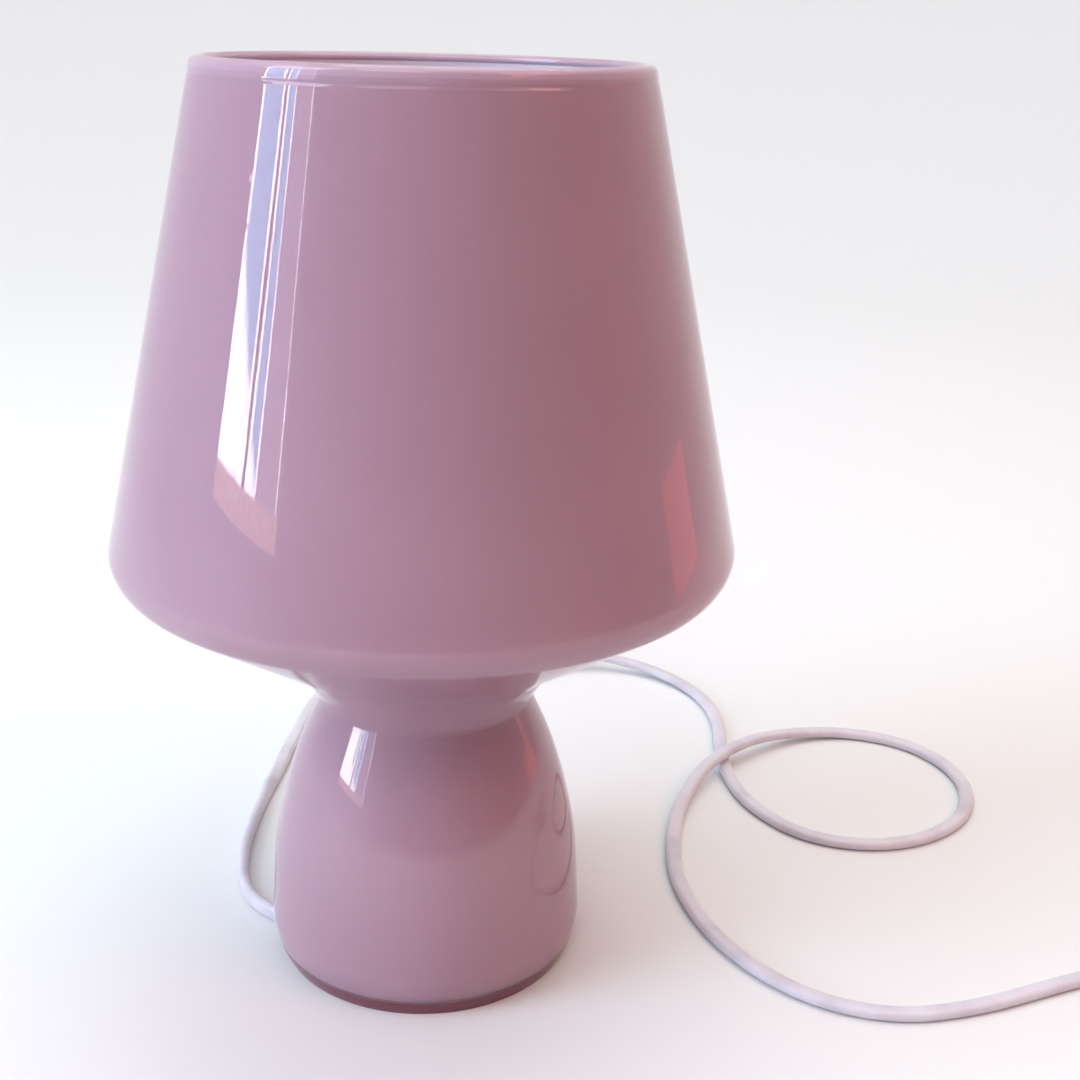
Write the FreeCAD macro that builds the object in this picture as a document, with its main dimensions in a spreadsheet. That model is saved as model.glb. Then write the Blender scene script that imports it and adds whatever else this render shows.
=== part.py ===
"""Mushroom table lamp in pink cased glass, with its lampholder, bulb, cord, switch and plug.

The lamp stands on z = 0 with its axis on z. Sizes are in millimetres.
"""
import FreeCAD
import Part
import Sketcher
import math
import os

from FreeCAD import Placement, Rotation, Vector

SHEET = "Sizes"
AXIS_Z = Vector(0, 0, 1)

SIZES = {
    # Outline of the glass: radius and height of each corner, and the round on it.
    "foot_radius": 46.2,
    "flare_radius": 49.4,
    "flare_level": 6.9,
    "flare_round": 24.0,
    "belly_radius": 46.2,
    "belly_level": 54.3,
    "belly_round": 125.0,
    "waist_radius": 31.8,
    "waist_level": 84.8,
    "waist_round": 1.2,
    "neck_radius": 40.2,
    "neck_level": 97.7,
    "neck_round": 16.0,
    "brim_radius": 92.2,
    "brim_level": 131.4,
    "brim_round": 9.0,
    "rim_radius": 61.6,
    "rim_level": 270.0,
    "rim_round": 1.6,
    "rim_inner_round": 1.3,
    # Glass layers and the notch that lets the cord out.
    "wall": 4.0,
    "casing": 2.0,
    "opal_level": 5.0,
    "foot_edge": 0.6,
    "notch_width": 13.0,
    "notch_height": 7.5,
    "notch_offset": 1.5,
    # Plate and bar that grip the glass above and below its waist.
    "dish_level": 88.5,
    "dish_rise": 3.5,
    "sheet_steel": 1.5,
    "bar_level": 78.5,
    "bar_thick": 2.0,
    "bar_width": 14.0,
    # Threaded tube and its nuts.
    "tube_radius": 5.0,
    "tube_bore": 3.5,
    "tube_foot": 67.0,
    "tube_top": 101.0,
    "tube_edge": 0.6,
    "nut_flats": 14.0,
    "nut_thick": 4.0,
    "washer_radius": 8.0,
    "washer_thick": 1.0,
    "washer_gap": 1.4,
    # Cord grip.
    "grip_radius": 7.5,
    "grip_foot": 60.0,
    "grip_edge": 1.0,
    "grip_screw_radius": 1.5,
    "grip_screw_head": 2.8,
    # Lampholder.
    "cap_foot": 94.0,
    "cap_shoulder": 96.5,
    "cap_top": 104.0,
    "holder_radius": 14.0,
    "holder_skin": 1.8,
    "holder_top": 131.0,
    "holder_lip": 1.2,
    "core_floor": 107.0,
    "core_top": 129.0,
    "shell_radius": 7.8,
    "shell_skin": 0.5,
    "contact_radius": 2.6,
    "contact_top": 108.4,
    # Bulb.
    "bulb_eyelet": 2.2,
    "bulb_base": 111.6,
    "bulb_cap_radius": 7.0,
    "bulb_cap_top": 131.5,
    "bulb_collar": 8.4,
    "bulb_collar_height": 2.0,
    "bulb_meet": 150.0,
    "bulb_radius": 22.5,
    "bulb_top": 187.0,
    # Cord.
    "cord_diameter": 5.0,
    "cord_level": 2.6,
    "coil_start": 33.6,
    "coil_pitch": 5.6,
    "coil_level": 3.1,
    "coil_lift": 5.5,
    "coil_east": 275.0,
    "coil_north": 5.0,
    "tie_thick": 0.6,
    "tie_width": 9.0,
    "tie_gap": 0.1,
    # Switch on the cord.
    "switch_west": -4.0,
    "switch_north": 200.0,
    "switch_length": 62.0,
    "switch_width": 23.0,
    "switch_seam": 7.5,
    "switch_top": 15.0,
    "switch_edge": 2.4,
    "switch_skin": 2.0,
    "switch_cord_level": 6.5,
    "window_length": 17.0,
    "window_width": 10.0,
    "rocker_gap": 0.5,
    "rocker_end_gap": 0.9,
    "rocker_rise": 2.2,
    "rocker_dip": 0.4,
    "rocker_edge": 0.3,
    "rocker_tilt": 7.0,
    "pin_clearance": 0.05,
    "pin_radius": 0.9,
    "pin_level": 11.0,
    "switch_screw_radius": 2.6,
    "switch_screw_inset": 9.0,
    "switch_screw_depth": 3.0,
    "switch_screw_sunk": 1.0,
    "screw_slot": 0.8,
    # Plug at the end of the cord.
    "plug_east": 326.0,
    "plug_north": 24.0,
    "plug_length": 34.0,
    "plug_back_width": 15.0,
    "plug_face_width": 35.4,
    "plug_thick": 13.6,
    "plug_edge": 2.0,
    "plug_pin_radius": 2.0,
    "plug_pin_length": 19.0,
    "plug_pin_spread": 18.6,
    "relief_length": 22.0,
    "relief_radius": 3.9,
    "relief_skin": 0.9,
    "relief_rib": 0.6,
}

CORD_LEVEL = SIZES["cord_level"]
SWITCH_CORD_LEVEL = SIZES["switch_cord_level"]

# From the cord grip down inside the foot to the notch.
INNER_ROUTE = [
    (0.0, 0.0, 60.0),
    (0.0, 0.0, 43.0),
    (1.0, -6.0, 25.0),
    (-4.0, -17.0, 9.5),
    (-19.0, -18.0, CORD_LEVEL),
    (-33.0, -7.45, CORD_LEVEL),
    (-46.5, 2.0, CORD_LEVEL),
]

# From the notch along the left of the foot and round behind it to the switch.
LAMP_ROUTE = [
    (-46.5, 2.0, CORD_LEVEL),
    (-54.7, 7.74, CORD_LEVEL),
    (-61.6, 20.0, CORD_LEVEL),
    (-63.8, 38.0, CORD_LEVEL),
    (-63.3, 59.7, CORD_LEVEL),
    (-60.2, 88.6, CORD_LEVEL),
    (-55.3, 121.5, CORD_LEVEL),
    (-50.0, 156.5, CORD_LEVEL),
    (-41.0, 185.0, 3.6),
    (-24.0, 200.0, SWITCH_CORD_LEVEL),
    (-4.0, 200.0, SWITCH_CORD_LEVEL),
]

# From the switch to the right of the lamp, over itself in one loose loop, and on to the coil.
LOOP_ROUTE = [
    (58.0, 200.0, SWITCH_CORD_LEVEL),
    (80.0, 200.0, SWITCH_CORD_LEVEL),
    (103.5, 191.0, 3.4),
    (119.5, 169.0, CORD_LEVEL),
    (123.5, 142.0, CORD_LEVEL),
    (118.5, 114.0, CORD_LEVEL),
    (118.0, 90.0, CORD_LEVEL),
    (122.5, 69.0, CORD_LEVEL),
    (136.5, 48.0, CORD_LEVEL),
    (159.5, 40.0, CORD_LEVEL),
    (183.5, 45.0, CORD_LEVEL),
    (203.5, 62.0, CORD_LEVEL),
    (211.5, 89.0, CORD_LEVEL),
    (201.5, 116.0, CORD_LEVEL),
    (178.5, 129.5, CORD_LEVEL),
    (153.5, 128.0, 4.4),
    (130.5, 116.0, 9.0),
    (110.0, 97.0, 9.0),
    (95.5, 73.0, 4.4),
    (88.0, 46.0, CORD_LEVEL),
    (85.5, 17.0, CORD_LEVEL),
    (93.5, -17.0, CORD_LEVEL),
    (112.5, -44.0, CORD_LEVEL),
    (138.5, -56.0, CORD_LEVEL),
    (166.5, -52.4, CORD_LEVEL),
    (193.0, -43.0, CORD_LEVEL),
    (220.0, -34.6, CORD_LEVEL),
    (248.0, -28.6, SIZES["coil_level"]),
    (270.0, -28.6, SIZES["coil_level"]),
]

SHARE_OF_RUN = 0.45
LAYER_HALF_TURNS = 4
LAST_HALF_TURNS = 3


class Dim:
    """A number that also keeps the expression it was worked out with."""

    def __init__(self, value, text):
        self.value = value
        self.text = text

    @staticmethod
    def of(item):
        return item if isinstance(item, Dim) else Dim(float(item), repr(float(item)))

    def __add__(self, other):
        other = Dim.of(other)
        return Dim(self.value + other.value, f"({self.text} + {other.text})")

    def __sub__(self, other):
        other = Dim.of(other)
        return Dim(self.value - other.value, f"({self.text} - {other.text})")

    def __mul__(self, other):
        other = Dim.of(other)
        return Dim(self.value * other.value, f"({self.text} * {other.text})")

    def __truediv__(self, other):
        other = Dim.of(other)
        return Dim(self.value / other.value, f"({self.text} / {other.text})")

    def root(self):
        return Dim(math.sqrt(self.value), f"sqrt({self.text})")


class Sizes:
    """Gives each cell of the spreadsheet as a Dim."""

    def __getattr__(self, name):
        return Dim(SIZES[name], f"{SHEET}.{name}")


size = Sizes()
ZERO = Dim.of(0.0)


def make_sheet(doc):
    """Writes every driving dimension to the spreadsheet, one alias a row."""
    sheet = doc.addObject("Spreadsheet::Sheet", SHEET)
    for row, (name, value) in enumerate(SIZES.items(), start=1):
        sheet.set(f"A{row}", name)
        sheet.set(f"B{row}", str(value))
        sheet.setAlias(f"B{row}", name)
    doc.recompute()
    return sheet


def bind(item, prop, dim):
    """Ties a property of an object to the spreadsheet."""
    item.setExpression(prop, dim.text)


# ---------------------------------------------------------------- sketches


def new_body(doc, label):
    """Starts a named body."""
    body = doc.addObject("PartDesign::Body", label)
    body.Label = label
    return body


def new_sketch(body, name, plane):
    """Puts a sketch on one of the body's own origin planes."""
    sketch = body.newObject("Sketcher::SketchObject", name)
    face = [item for item in body.Origin.OriginFeatures if item.Role == plane][0]
    sketch.AttachmentSupport = [(face, "")]
    sketch.MapMode = "FlatFace"
    return sketch


def fix_value(sketch, kind, first, second, dim):
    """Adds a distance from the origin and binds it to the spreadsheet."""
    index = sketch.addConstraint(Sketcher.Constraint(kind, -1, 1, first, second, dim.value))
    sketch.setExpression(f"Constraints[{index}]", dim.text)


def fix_point(sketch, geometry, end, across, up):
    """Places one point of a sketch by its two coordinates."""
    for kind, dim, axis in (("DistanceX", across, -2), ("DistanceY", up, -1)):
        if abs(dim.value) < 1e-9:
            sketch.addConstraint(Sketcher.Constraint("PointOnObject", geometry, end, axis))
        else:
            fix_value(sketch, kind, geometry, end, dim)


def polygon(sketch, corners):
    """Draws a closed outline of straight lines with every corner placed."""
    corners = [(Dim.of(across), Dim.of(up)) for across, up in corners]
    places = [Vector(across.value, up.value, 0) for across, up in corners]
    count = len(places)
    for index in range(count):
        sketch.addGeometry(Part.LineSegment(places[index], places[(index + 1) % count]), False)
    for index in range(count):
        sketch.addConstraint(Sketcher.Constraint("Coincident", index, 2, (index + 1) % count, 1))
    for index, (across, up) in enumerate(corners):
        fix_point(sketch, index, 1, across, up)


def revolve(body, sketch, name="Turn"):
    """Turns a sketch of the XZ plane about the z axis."""
    turn = body.newObject("PartDesign::Revolution", name)
    turn.Profile = sketch
    turn.ReferenceAxis = (sketch, ["V_Axis"])
    turn.Angle = 360
    sketch.Visibility = False
    return turn


def pad(body, sketch, dim, name="Pad", middle=False):
    """Pads a sketch by a bound length."""
    block = body.newObject("PartDesign::Pad", name)
    block.Profile = sketch
    bind(block, "Length", dim)
    block.Midplane = middle
    return block


def dress(body, kind, name, base, edges, prop, dim):
    """Rounds or bevels the edges that are given by name."""
    feature = body.newObject(kind, name)
    feature.Base = (base, edges)
    bind(feature, prop, dim)
    return feature


def edges_where(shape, test):
    """Names the edges whose middle passes a test."""
    names = []
    for index, edge in enumerate(shape.Edges, start=1):
        middle = edge.valueAt((edge.FirstParameter + edge.LastParameter) / 2)
        if test(edge, middle):
            names.append(f"Edge{index}")
    return names


def turned(doc, label, corners):
    """A turned piece from the corners of its half section."""
    body = new_body(doc, label)
    sketch = new_sketch(body, f"{label}_section", "XZ_Plane")
    polygon(sketch, corners)
    revolve(body, sketch, f"{label}_turn")
    return body


# ---------------------------------------------------------------- glass


class GlassOutline:
    """The outside line of the glass in a sketch, with copies set in from it."""

    CORNERS = ("flare", "belly", "waist", "neck", "brim")
    HOLLOW = ("waist", "neck")

    def __init__(self, sketch, construction):
        self.sketch = sketch
        self.points = [Vector(size.foot_radius.value, 0, 0)]
        for name in self.CORNERS:
            self.points.append(Vector(SIZES[f"{name}_radius"], SIZES[f"{name}_level"], 0))
        self.points.append(Vector(size.rim_radius.value, size.rim_level.value, 0))
        self.lines = self.draw(self.points, ZERO, construction)
        self.place_corners()

    def round_of(self, name, inset):
        """The radius of a corner on a line that is set in from the outside."""
        outer = Dim(SIZES[f"{name}_round"], f"{SHEET}.{name}_round")
        return outer + inset if name in self.HOLLOW else outer - inset

    def draw(self, points, inset, construction):
        """Draws lines with tangent arcs at the corners and returns the lines."""
        heads = [(points[i + 1] - points[i]).normalize() for i in range(len(points) - 1)]
        starts, ends, arcs = [points[0]], [], []
        for index, name in enumerate(self.CORNERS, start=1):
            before, after = heads[index - 1], heads[index]
            radius = self.round_of(name, inset)
            reach = radius.value * math.tan(before.getAngle(after) / 2)
            side = 1.0 if before.cross(after).z > 0 else -1.0
            ends.append(points[index] - before * reach)
            starts.append(points[index] + after * reach)
            centre = ends[-1] + Vector(-before.y, before.x, 0) * (side * radius.value)
            arcs.append((centre, radius, side, ends[-1], starts[-1]))
        ends.append(points[-1])
        lines = []
        for start, end in zip(starts, ends):
            lines.append(self.sketch.addGeometry(Part.LineSegment(start, end), construction))
        for index, (centre, radius, side, start, end) in enumerate(arcs):
            self.draw_arc(lines[index], lines[index + 1], centre, radius, side, start, end, construction)
        return lines

    def draw_arc(self, before, after, centre, radius, side, start, end, construction):
        """Draws one corner arc, tangent to the lines on both sides."""
        first, last = (start, end) if side > 0 else (end, start)
        angles = [math.atan2(p.y - centre.y, p.x - centre.x) for p in (first, last)]
        circle = Part.Circle(centre, AXIS_Z, radius.value)
        arc = self.sketch.addGeometry(Part.ArcOfCircle(circle, *angles), construction)
        near, far = (1, 2) if side > 0 else (2, 1)
        self.sketch.addConstraint(Sketcher.Constraint("Tangent", before, 2, arc, near))
        self.sketch.addConstraint(Sketcher.Constraint("Tangent", arc, far, after, 1))
        index = self.sketch.addConstraint(Sketcher.Constraint("Radius", arc, radius.value))
        self.sketch.setExpression(f"Constraints[{index}]", radius.text)

    def place_corners(self):
        """Places the corners where the lines of the outside would meet."""
        for index, name in enumerate(self.CORNERS, start=1):
            mark = self.sketch.addGeometry(Part.Point(self.points[index]), True)
            for line in (self.lines[index - 1], self.lines[index]):
                self.sketch.addConstraint(Sketcher.Constraint("PointOnObject", mark, 1, line))
            across = Dim(SIZES[f"{name}_radius"], f"{SHEET}.{name}_radius")
            up = Dim(SIZES[f"{name}_level"], f"{SHEET}.{name}_level")
            fix_point(self.sketch, mark, 1, across, up)
        fix_point(self.sketch, self.lines[0], 1, size.foot_radius, ZERO)
        fix_point(self.sketch, self.lines[-1], 2, size.rim_radius, size.rim_level)

    def set_in(self, inset):
        """Draws a parallel copy at a depth in the glass and returns its lines."""
        depth = inset.value
        moved = []
        heads = [(b - a).normalize() for a, b in zip(self.points, self.points[1:])]
        normals = [Vector(-head.y, head.x, 0) for head in heads]
        for index in range(1, len(self.points) - 1):
            middle = (normals[index - 1] + normals[index]).normalize()
            stretch = depth / middle.dot(normals[index])
            moved.append(self.points[index] + middle * stretch)
        foot = self.slide(self.points[0] + normals[0] * depth, heads[0], 0.0)
        rim = self.slide(self.points[-1] + normals[-1] * depth, heads[-1], size.rim_level.value)
        lines = self.draw([foot] + moved + [rim], inset, False)
        for line, outside in zip(lines, self.lines):
            self.sketch.addConstraint(Sketcher.Constraint("Parallel", line, outside))
            index = self.sketch.addConstraint(Sketcher.Constraint("Distance", outside, 1, line, depth))
            self.sketch.setExpression(f"Constraints[{index}]", inset.text)
        self.sketch.addConstraint(Sketcher.Constraint("PointOnObject", lines[0], 1, -1))
        fix_value(self.sketch, "DistanceY", lines[-1], 2, size.rim_level)
        return lines

    @staticmethod
    def slide(point, head, level):
        """Moves a point along a line to a level."""
        return point + head * ((level - point.y) / head.y)

    def close(self, outer, inner):
        """Joins two copies across the foot and across the rim."""
        for position, end in ((0, 1), (-1, 2)):
            ends = [self.sketch.getPoint(lines[position], end) for lines in (outer, inner)]
            bridge = self.sketch.addGeometry(Part.LineSegment(*ends), False)
            self.sketch.addConstraint(Sketcher.Constraint("Coincident", bridge, 1, outer[position], end))
            self.sketch.addConstraint(Sketcher.Constraint("Coincident", bridge, 2, inner[position], end))


def cut_notch(body, label):
    """Cuts the arched notch for the cord through the left of the foot."""
    sketch = new_sketch(body, f"{label}_notch_section", "YZ_Plane")
    half = size.notch_width / 2
    left, right = size.notch_offset - half, size.notch_offset + half
    shoulder = size.notch_height - half
    places = [
        Vector(left.value, shoulder.value, 0),
        Vector(left.value, -1, 0),
        Vector(right.value, -1, 0),
        Vector(right.value, shoulder.value, 0),
    ]
    for start, end in zip(places, places[1:]):
        sketch.addGeometry(Part.LineSegment(start, end), False)
    crown = Part.Circle(Vector(size.notch_offset.value, shoulder.value, 0), AXIS_Z, half.value)
    arc = sketch.addGeometry(Part.ArcOfCircle(crown, 0, math.pi), False)
    for index in (0, 1):
        sketch.addConstraint(Sketcher.Constraint("Coincident", index, 2, index + 1, 1))
    sketch.addConstraint(Sketcher.Constraint("Coincident", 2, 2, arc, 1))
    sketch.addConstraint(Sketcher.Constraint("Coincident", arc, 2, 0, 1))
    sketch.addConstraint(Sketcher.Constraint("Vertical", 0))
    sketch.addConstraint(Sketcher.Constraint("Horizontal", 1))
    sketch.addConstraint(Sketcher.Constraint("Vertical", 2))
    sketch.addConstraint(Sketcher.Constraint("DistanceY", 0, 2, -1, 1, 1.0))
    fix_point(sketch, arc, 3, size.notch_offset, shoulder)
    index = sketch.addConstraint(Sketcher.Constraint("Radius", arc, half.value))
    sketch.setExpression(f"Constraints[{index}]", half.text)
    pocket = body.newObject("PartDesign::Pocket", f"{label}_notch")
    pocket.Profile = sketch
    bind(pocket, "Length", size.flare_radius + 10.0)
    return pocket


def report_cut(doc, body, before, name):
    """Prints how much a cut took away, and stops if it took nothing."""
    doc.recompute()
    taken = before - body.Shape.Volume
    print(f"{name} took {taken:.1f} mm3")
    if taken < 1.0:
        raise RuntimeError(f"{name} cut nothing")


def make_casing(doc):
    """The outer, clear pink layer, which wraps round the foot under the opal one."""
    body = new_body(doc, "glass_casing")
    sketch = new_sketch(body, "casing_section", "XZ_Plane")
    outline = GlassOutline(sketch, False)
    outline.close(outline.lines, outline.set_in(size.casing))
    revolve(body, sketch, "casing_turn")
    foot = new_sketch(body, "foot_section", "XZ_Plane")
    polygon(foot, foot_corners())
    revolve(body, foot, "foot_turn")
    doc.recompute()
    tip = body.Tip
    bottom = edges_where(tip.Shape, lambda edge, at: abs(at.z) < 0.01 and edge.Length > 200)
    dress(body, "PartDesign::Fillet", "foot_edges", tip, bottom, "Radius", size.foot_edge)
    doc.recompute()
    tip = body.Tip
    lip = edges_where(tip.Shape, lambda edge, at: is_rim(edge, at) and outer_edge(at, size.casing))
    dress(body, "PartDesign::Fillet", "lip_outside", tip, lip, "Radius", size.rim_round)
    doc.recompute()
    before = body.Shape.Volume
    cut_notch(body, "casing")
    report_cut(doc, body, before, "notch in the casing")
    return body


def foot_corners():
    """The ring of casing glass under the opal layer."""
    slope = (size.flare_radius - size.foot_radius) / size.flare_level
    top = size.foot_radius + slope * size.opal_level
    cover = size.casing / 2
    return [
        (size.foot_radius - cover, ZERO),
        (top - size.casing, size.opal_level),
        (top - size.wall, size.opal_level),
        (size.foot_radius - size.wall, ZERO),
    ]


def is_rim(edge, at):
    """Tells an edge that runs round the top of the glass."""
    return abs(at.z - size.rim_level.value) < 0.01 and edge.Length > 200


def outer_edge(at, layer):
    """Tells the outside edge of a layer from its inside edge."""
    return math.hypot(at.x, at.y) > size.rim_radius.value - layer.value / 2


def make_lining(doc):
    """The inner opal layer, which stops short of the table."""
    body = new_body(doc, "glass_lining")
    sketch = new_sketch(body, "lining_section", "XZ_Plane")
    outline = GlassOutline(sketch, True)
    outline.close(outline.set_in(size.casing), outline.set_in(size.wall))
    revolve(body, sketch, "lining_turn")
    doc.recompute()
    before = body.Shape.Volume
    trim = new_sketch(body, "lining_trim_section", "XZ_Plane")
    inside = size.foot_radius - size.wall * 2
    outside = size.flare_radius + size.wall
    polygon(trim, [(inside, ZERO), (outside, ZERO), (outside, size.opal_level), (inside, size.opal_level)])
    groove = body.newObject("PartDesign::Groove", "lining_trim")
    groove.Profile = trim
    groove.ReferenceAxis = (trim, ["V_Axis"])
    groove.Angle = 360
    report_cut(doc, body, before, "trim of the lining")
    tip = body.Tip
    depth = size.wall + size.casing
    lip = edges_where(tip.Shape, lambda edge, at: is_rim(edge, at) and not outer_edge(at, depth))
    dress(body, "PartDesign::Fillet", "lip_inside", tip, lip, "Radius", size.rim_inner_round)
    doc.recompute()
    before = body.Shape.Volume
    cut_notch(body, "lining")
    report_cut(doc, body, before, "notch in the lining")
    return body


# ---------------------------------------------------------------- fittings at the waist


def inside_above(level):
    """Inside radius of the glass on the funnel above the waist."""
    slope = (size.neck_radius - size.waist_radius) / (size.neck_level - size.waist_level)
    across = size.wall * (slope * slope + 1.0).root()
    return size.waist_radius + slope * (level - size.waist_level) - across


def inside_below(level):
    """Inside radius of the glass on the shoulder below the waist."""
    slope = (size.belly_radius - size.waist_radius) / (size.waist_level - size.belly_level)
    across = size.wall * (slope * slope + 1.0).root()
    return size.waist_radius + slope * (size.waist_level - level) - across


def make_dish(doc):
    """Pressed steel dish that sits in the funnel above the waist."""
    floor, brim = size.dish_level, size.dish_level + size.dish_rise
    skin = size.sheet_steel
    corners = [
        (size.tube_radius, floor),
        (inside_above(floor), floor),
        (inside_above(brim), brim),
        (inside_above(brim) - skin, brim),
        (inside_above(floor) - skin, floor + skin),
        (size.tube_radius, floor + skin),
    ]
    return turned(doc, "seat_dish", corners)


def make_bar(doc):
    """Steel bar under the waist whose ends bear on the glass."""
    body = new_body(doc, "clamp_bar")
    low, high = size.bar_level, size.bar_level + size.bar_thick
    sketch = new_sketch(body, "bar_section", "XZ_Plane")
    polygon(sketch, [(size.tube_radius, low), (inside_below(low), low),
                     (inside_below(high), high), (size.tube_radius, high)])
    revolve(body, sketch, "bar_turn")
    doc.recompute()
    before = body.Shape.Volume
    half = size.bar_width / 2
    reach = size.belly_radius
    for name, side in (("front", -1.0), ("back", 1.0)):
        flank = new_sketch(body, f"bar_{name}_section", "XY_Plane")
        near, far = half * side, reach * side
        polygon(flank, [(reach * -1.0, near), (reach, near), (reach, far), (reach * -1.0, far)])
        pocket = body.newObject("PartDesign::Pocket", f"bar_{name}")
        pocket.Profile = flank
        pocket.Reversed = True
        bind(pocket, "Length", high + 1.0)
        doc.recompute()
    report_cut(doc, body, before, "flanks of the bar")
    return body


def make_tube(doc):
    """Threaded tube through the waist, its ends bevelled."""
    low, high = size.tube_foot, size.tube_top
    edge = size.tube_edge
    corners = [
        (size.tube_bore, low),
        (size.tube_radius - edge, low),
        (size.tube_radius, low + edge),
        (size.tube_radius, high - edge),
        (size.tube_radius - edge, high),
        (size.tube_bore, high),
    ]
    return turned(doc, "threaded_tube", corners)


def make_nut(doc, label, level):
    """Hexagon nut on the threaded tube."""
    prism = doc.addObject("Part::Prism", f"{label}_blank")
    prism.Polygon = 6
    bind(prism, "Circumradius", size.nut_flats / math.sqrt(3))
    bind(prism, "Height", size.nut_thick)
    bore = doc.addObject("Part::Cylinder", f"{label}_bore")
    bind(bore, "Radius", size.tube_radius)
    bind(bore, "Height", size.nut_thick)
    cut = doc.addObject("Part::Cut", label)
    cut.Base = prism
    cut.Tool = bore
    cut.Label = label
    bind(cut, ".Placement.Base.z", level)
    return cut


def make_washer(doc):
    """Toothed lock washer between the lower nut and the bar."""
    teeth = 8
    body = new_body(doc, "lock_washer")
    sketch = new_sketch(body, "washer_section", "XZ_Plane")
    high = size.bar_level
    low = high - size.washer_thick
    polygon(sketch, [(size.tube_radius, low), (size.washer_radius, low),
                     (size.washer_radius, high), (size.tube_radius, high)])
    revolve(body, sketch, "washer_turn")
    doc.recompute()
    before = body.Shape.Volume
    gap = new_sketch(body, "washer_gap_section", "XY_Plane")
    inner = size.washer_radius - size.washer_gap
    outer = size.washer_radius + 1.0
    narrow, wide = size.washer_gap * 0.4, size.washer_gap * 0.65
    polygon(gap, [(inner, narrow * -1), (outer, wide * -1), (outer, wide), (inner, narrow)])
    pocket = body.newObject("PartDesign::Pocket", "washer_gap")
    pocket.Profile = gap
    pocket.Reversed = True
    bind(pocket, "Length", high + 1.0)
    doc.recompute()
    pattern = body.newObject("PartDesign::PolarPattern", "washer_gaps")
    pattern.Originals = [pocket]
    pattern.Axis = (sketch, ["V_Axis"])
    pattern.Angle = 360
    pattern.Occurrences = teeth
    body.Tip = pattern
    report_cut(doc, body, before, "gaps of the washer")
    return body


def make_grip(doc):
    """Plastic grip on the foot of the tube, closed round the cord."""
    low, high = size.grip_foot, size.bar_level - size.washer_thick - size.nut_thick
    edge = size.grip_edge
    corners = [
        (ZERO, low),
        (size.grip_radius - edge, low),
        (size.grip_radius, low + edge),
        (size.grip_radius, high),
        (size.tube_radius, high),
        (size.tube_radius, size.tube_foot),
        (ZERO, size.tube_foot),
    ]
    body = turned(doc, "cord_grip", corners)
    doc.recompute()
    before = body.Shape.Volume
    sketch = new_sketch(body, "grip_hole_section", "YZ_Plane")
    middle = (size.grip_foot + size.tube_foot) / 2
    circle = Part.Circle(Vector(0, middle.value, 0), AXIS_Z, size.grip_screw_radius.value)
    hole = sketch.addGeometry(circle, False)
    fix_point(sketch, hole, 3, ZERO, middle)
    index = sketch.addConstraint(Sketcher.Constraint("Radius", hole, size.grip_screw_radius.value))
    sketch.setExpression(f"Constraints[{index}]", size.grip_screw_radius.text)
    pocket = body.newObject("PartDesign::Pocket", "grip_hole")
    pocket.Profile = sketch
    pocket.Reversed = True
    bind(pocket, "Length", size.grip_radius + 1.0)
    report_cut(doc, body, before, "hole in the grip")
    return body


def make_grip_screw(doc):
    """Slotted screw in the side of the grip."""
    reach = size.grip_radius
    middle = (size.grip_foot + size.tube_foot) / 2
    shank = doc.addObject("Part::Cylinder", "grip_screw_shank")
    bind(shank, "Radius", size.grip_screw_radius)
    bind(shank, "Height", reach)
    head = doc.addObject("Part::Cylinder", "grip_screw_head")
    bind(head, "Radius", size.grip_screw_head)
    bind(head, "Height", size.grip_screw_radius)
    bind(head, ".Placement.Base.z", reach)
    whole = doc.addObject("Part::Fuse", "grip_screw_whole")
    whole.Base = shank
    whole.Tool = head
    slot = doc.addObject("Part::Box", "grip_screw_slot")
    bind(slot, "Length", size.grip_screw_head * 3)
    bind(slot, "Width", size.sheet_steel / 2)
    bind(slot, "Height", size.sheet_steel)
    bind(slot, ".Placement.Base.x", size.grip_screw_head * -1.5)
    bind(slot, ".Placement.Base.y", size.sheet_steel / -4)
    bind(slot, ".Placement.Base.z", reach + size.grip_screw_radius / 2)
    cut = doc.addObject("Part::Cut", "grip_screw")
    cut.Base = whole
    cut.Tool = slot
    cut.Label = "grip_screw"
    cut.Placement = Placement(Vector(0, 0, middle.value), Rotation(Vector(0, 1, 0), 90))
    bind(cut, ".Placement.Base.z", middle)
    return cut


# ---------------------------------------------------------------- lampholder and bulb


def make_holder_cap(doc):
    """Lower cap of the lampholder, screwed on the tube."""
    skin = size.holder_skin
    corners = [
        (size.tube_radius, size.cap_foot),
        (size.tube_radius + skin * 1.5, size.cap_foot),
        (size.holder_radius, size.cap_shoulder + skin * 2),
        (size.holder_radius, size.cap_top),
        (size.holder_radius - skin, size.cap_top),
        (size.holder_radius - skin, size.cap_shoulder + skin * 2.4),
        (size.tube_radius, size.cap_shoulder + skin),
    ]
    return turned(doc, "holder_cap", corners)


def make_holder_sleeve(doc):
    """Outer sleeve of the lampholder, with a rolled lip."""
    skin = size.holder_skin
    outer, inner = size.holder_radius, size.holder_radius - skin
    lip = size.holder_lip
    corners = [
        (inner, size.cap_top),
        (outer, size.cap_top),
        (outer, size.holder_top - lip * 2),
        (outer + lip, size.holder_top - lip),
        (outer + lip, size.holder_top),
        (inner, size.holder_top),
    ]
    return turned(doc, "holder_sleeve", corners)


def make_holder_core(doc):
    """Insulating core that carries the screw shell."""
    outer = size.holder_radius - size.holder_skin
    corners = [
        (ZERO, size.cap_top),
        (outer, size.cap_top),
        (outer, size.core_top),
        (size.shell_radius, size.core_top),
        (size.shell_radius, size.core_floor),
        (ZERO, size.core_floor),
    ]
    return turned(doc, "holder_core", corners)


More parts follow.
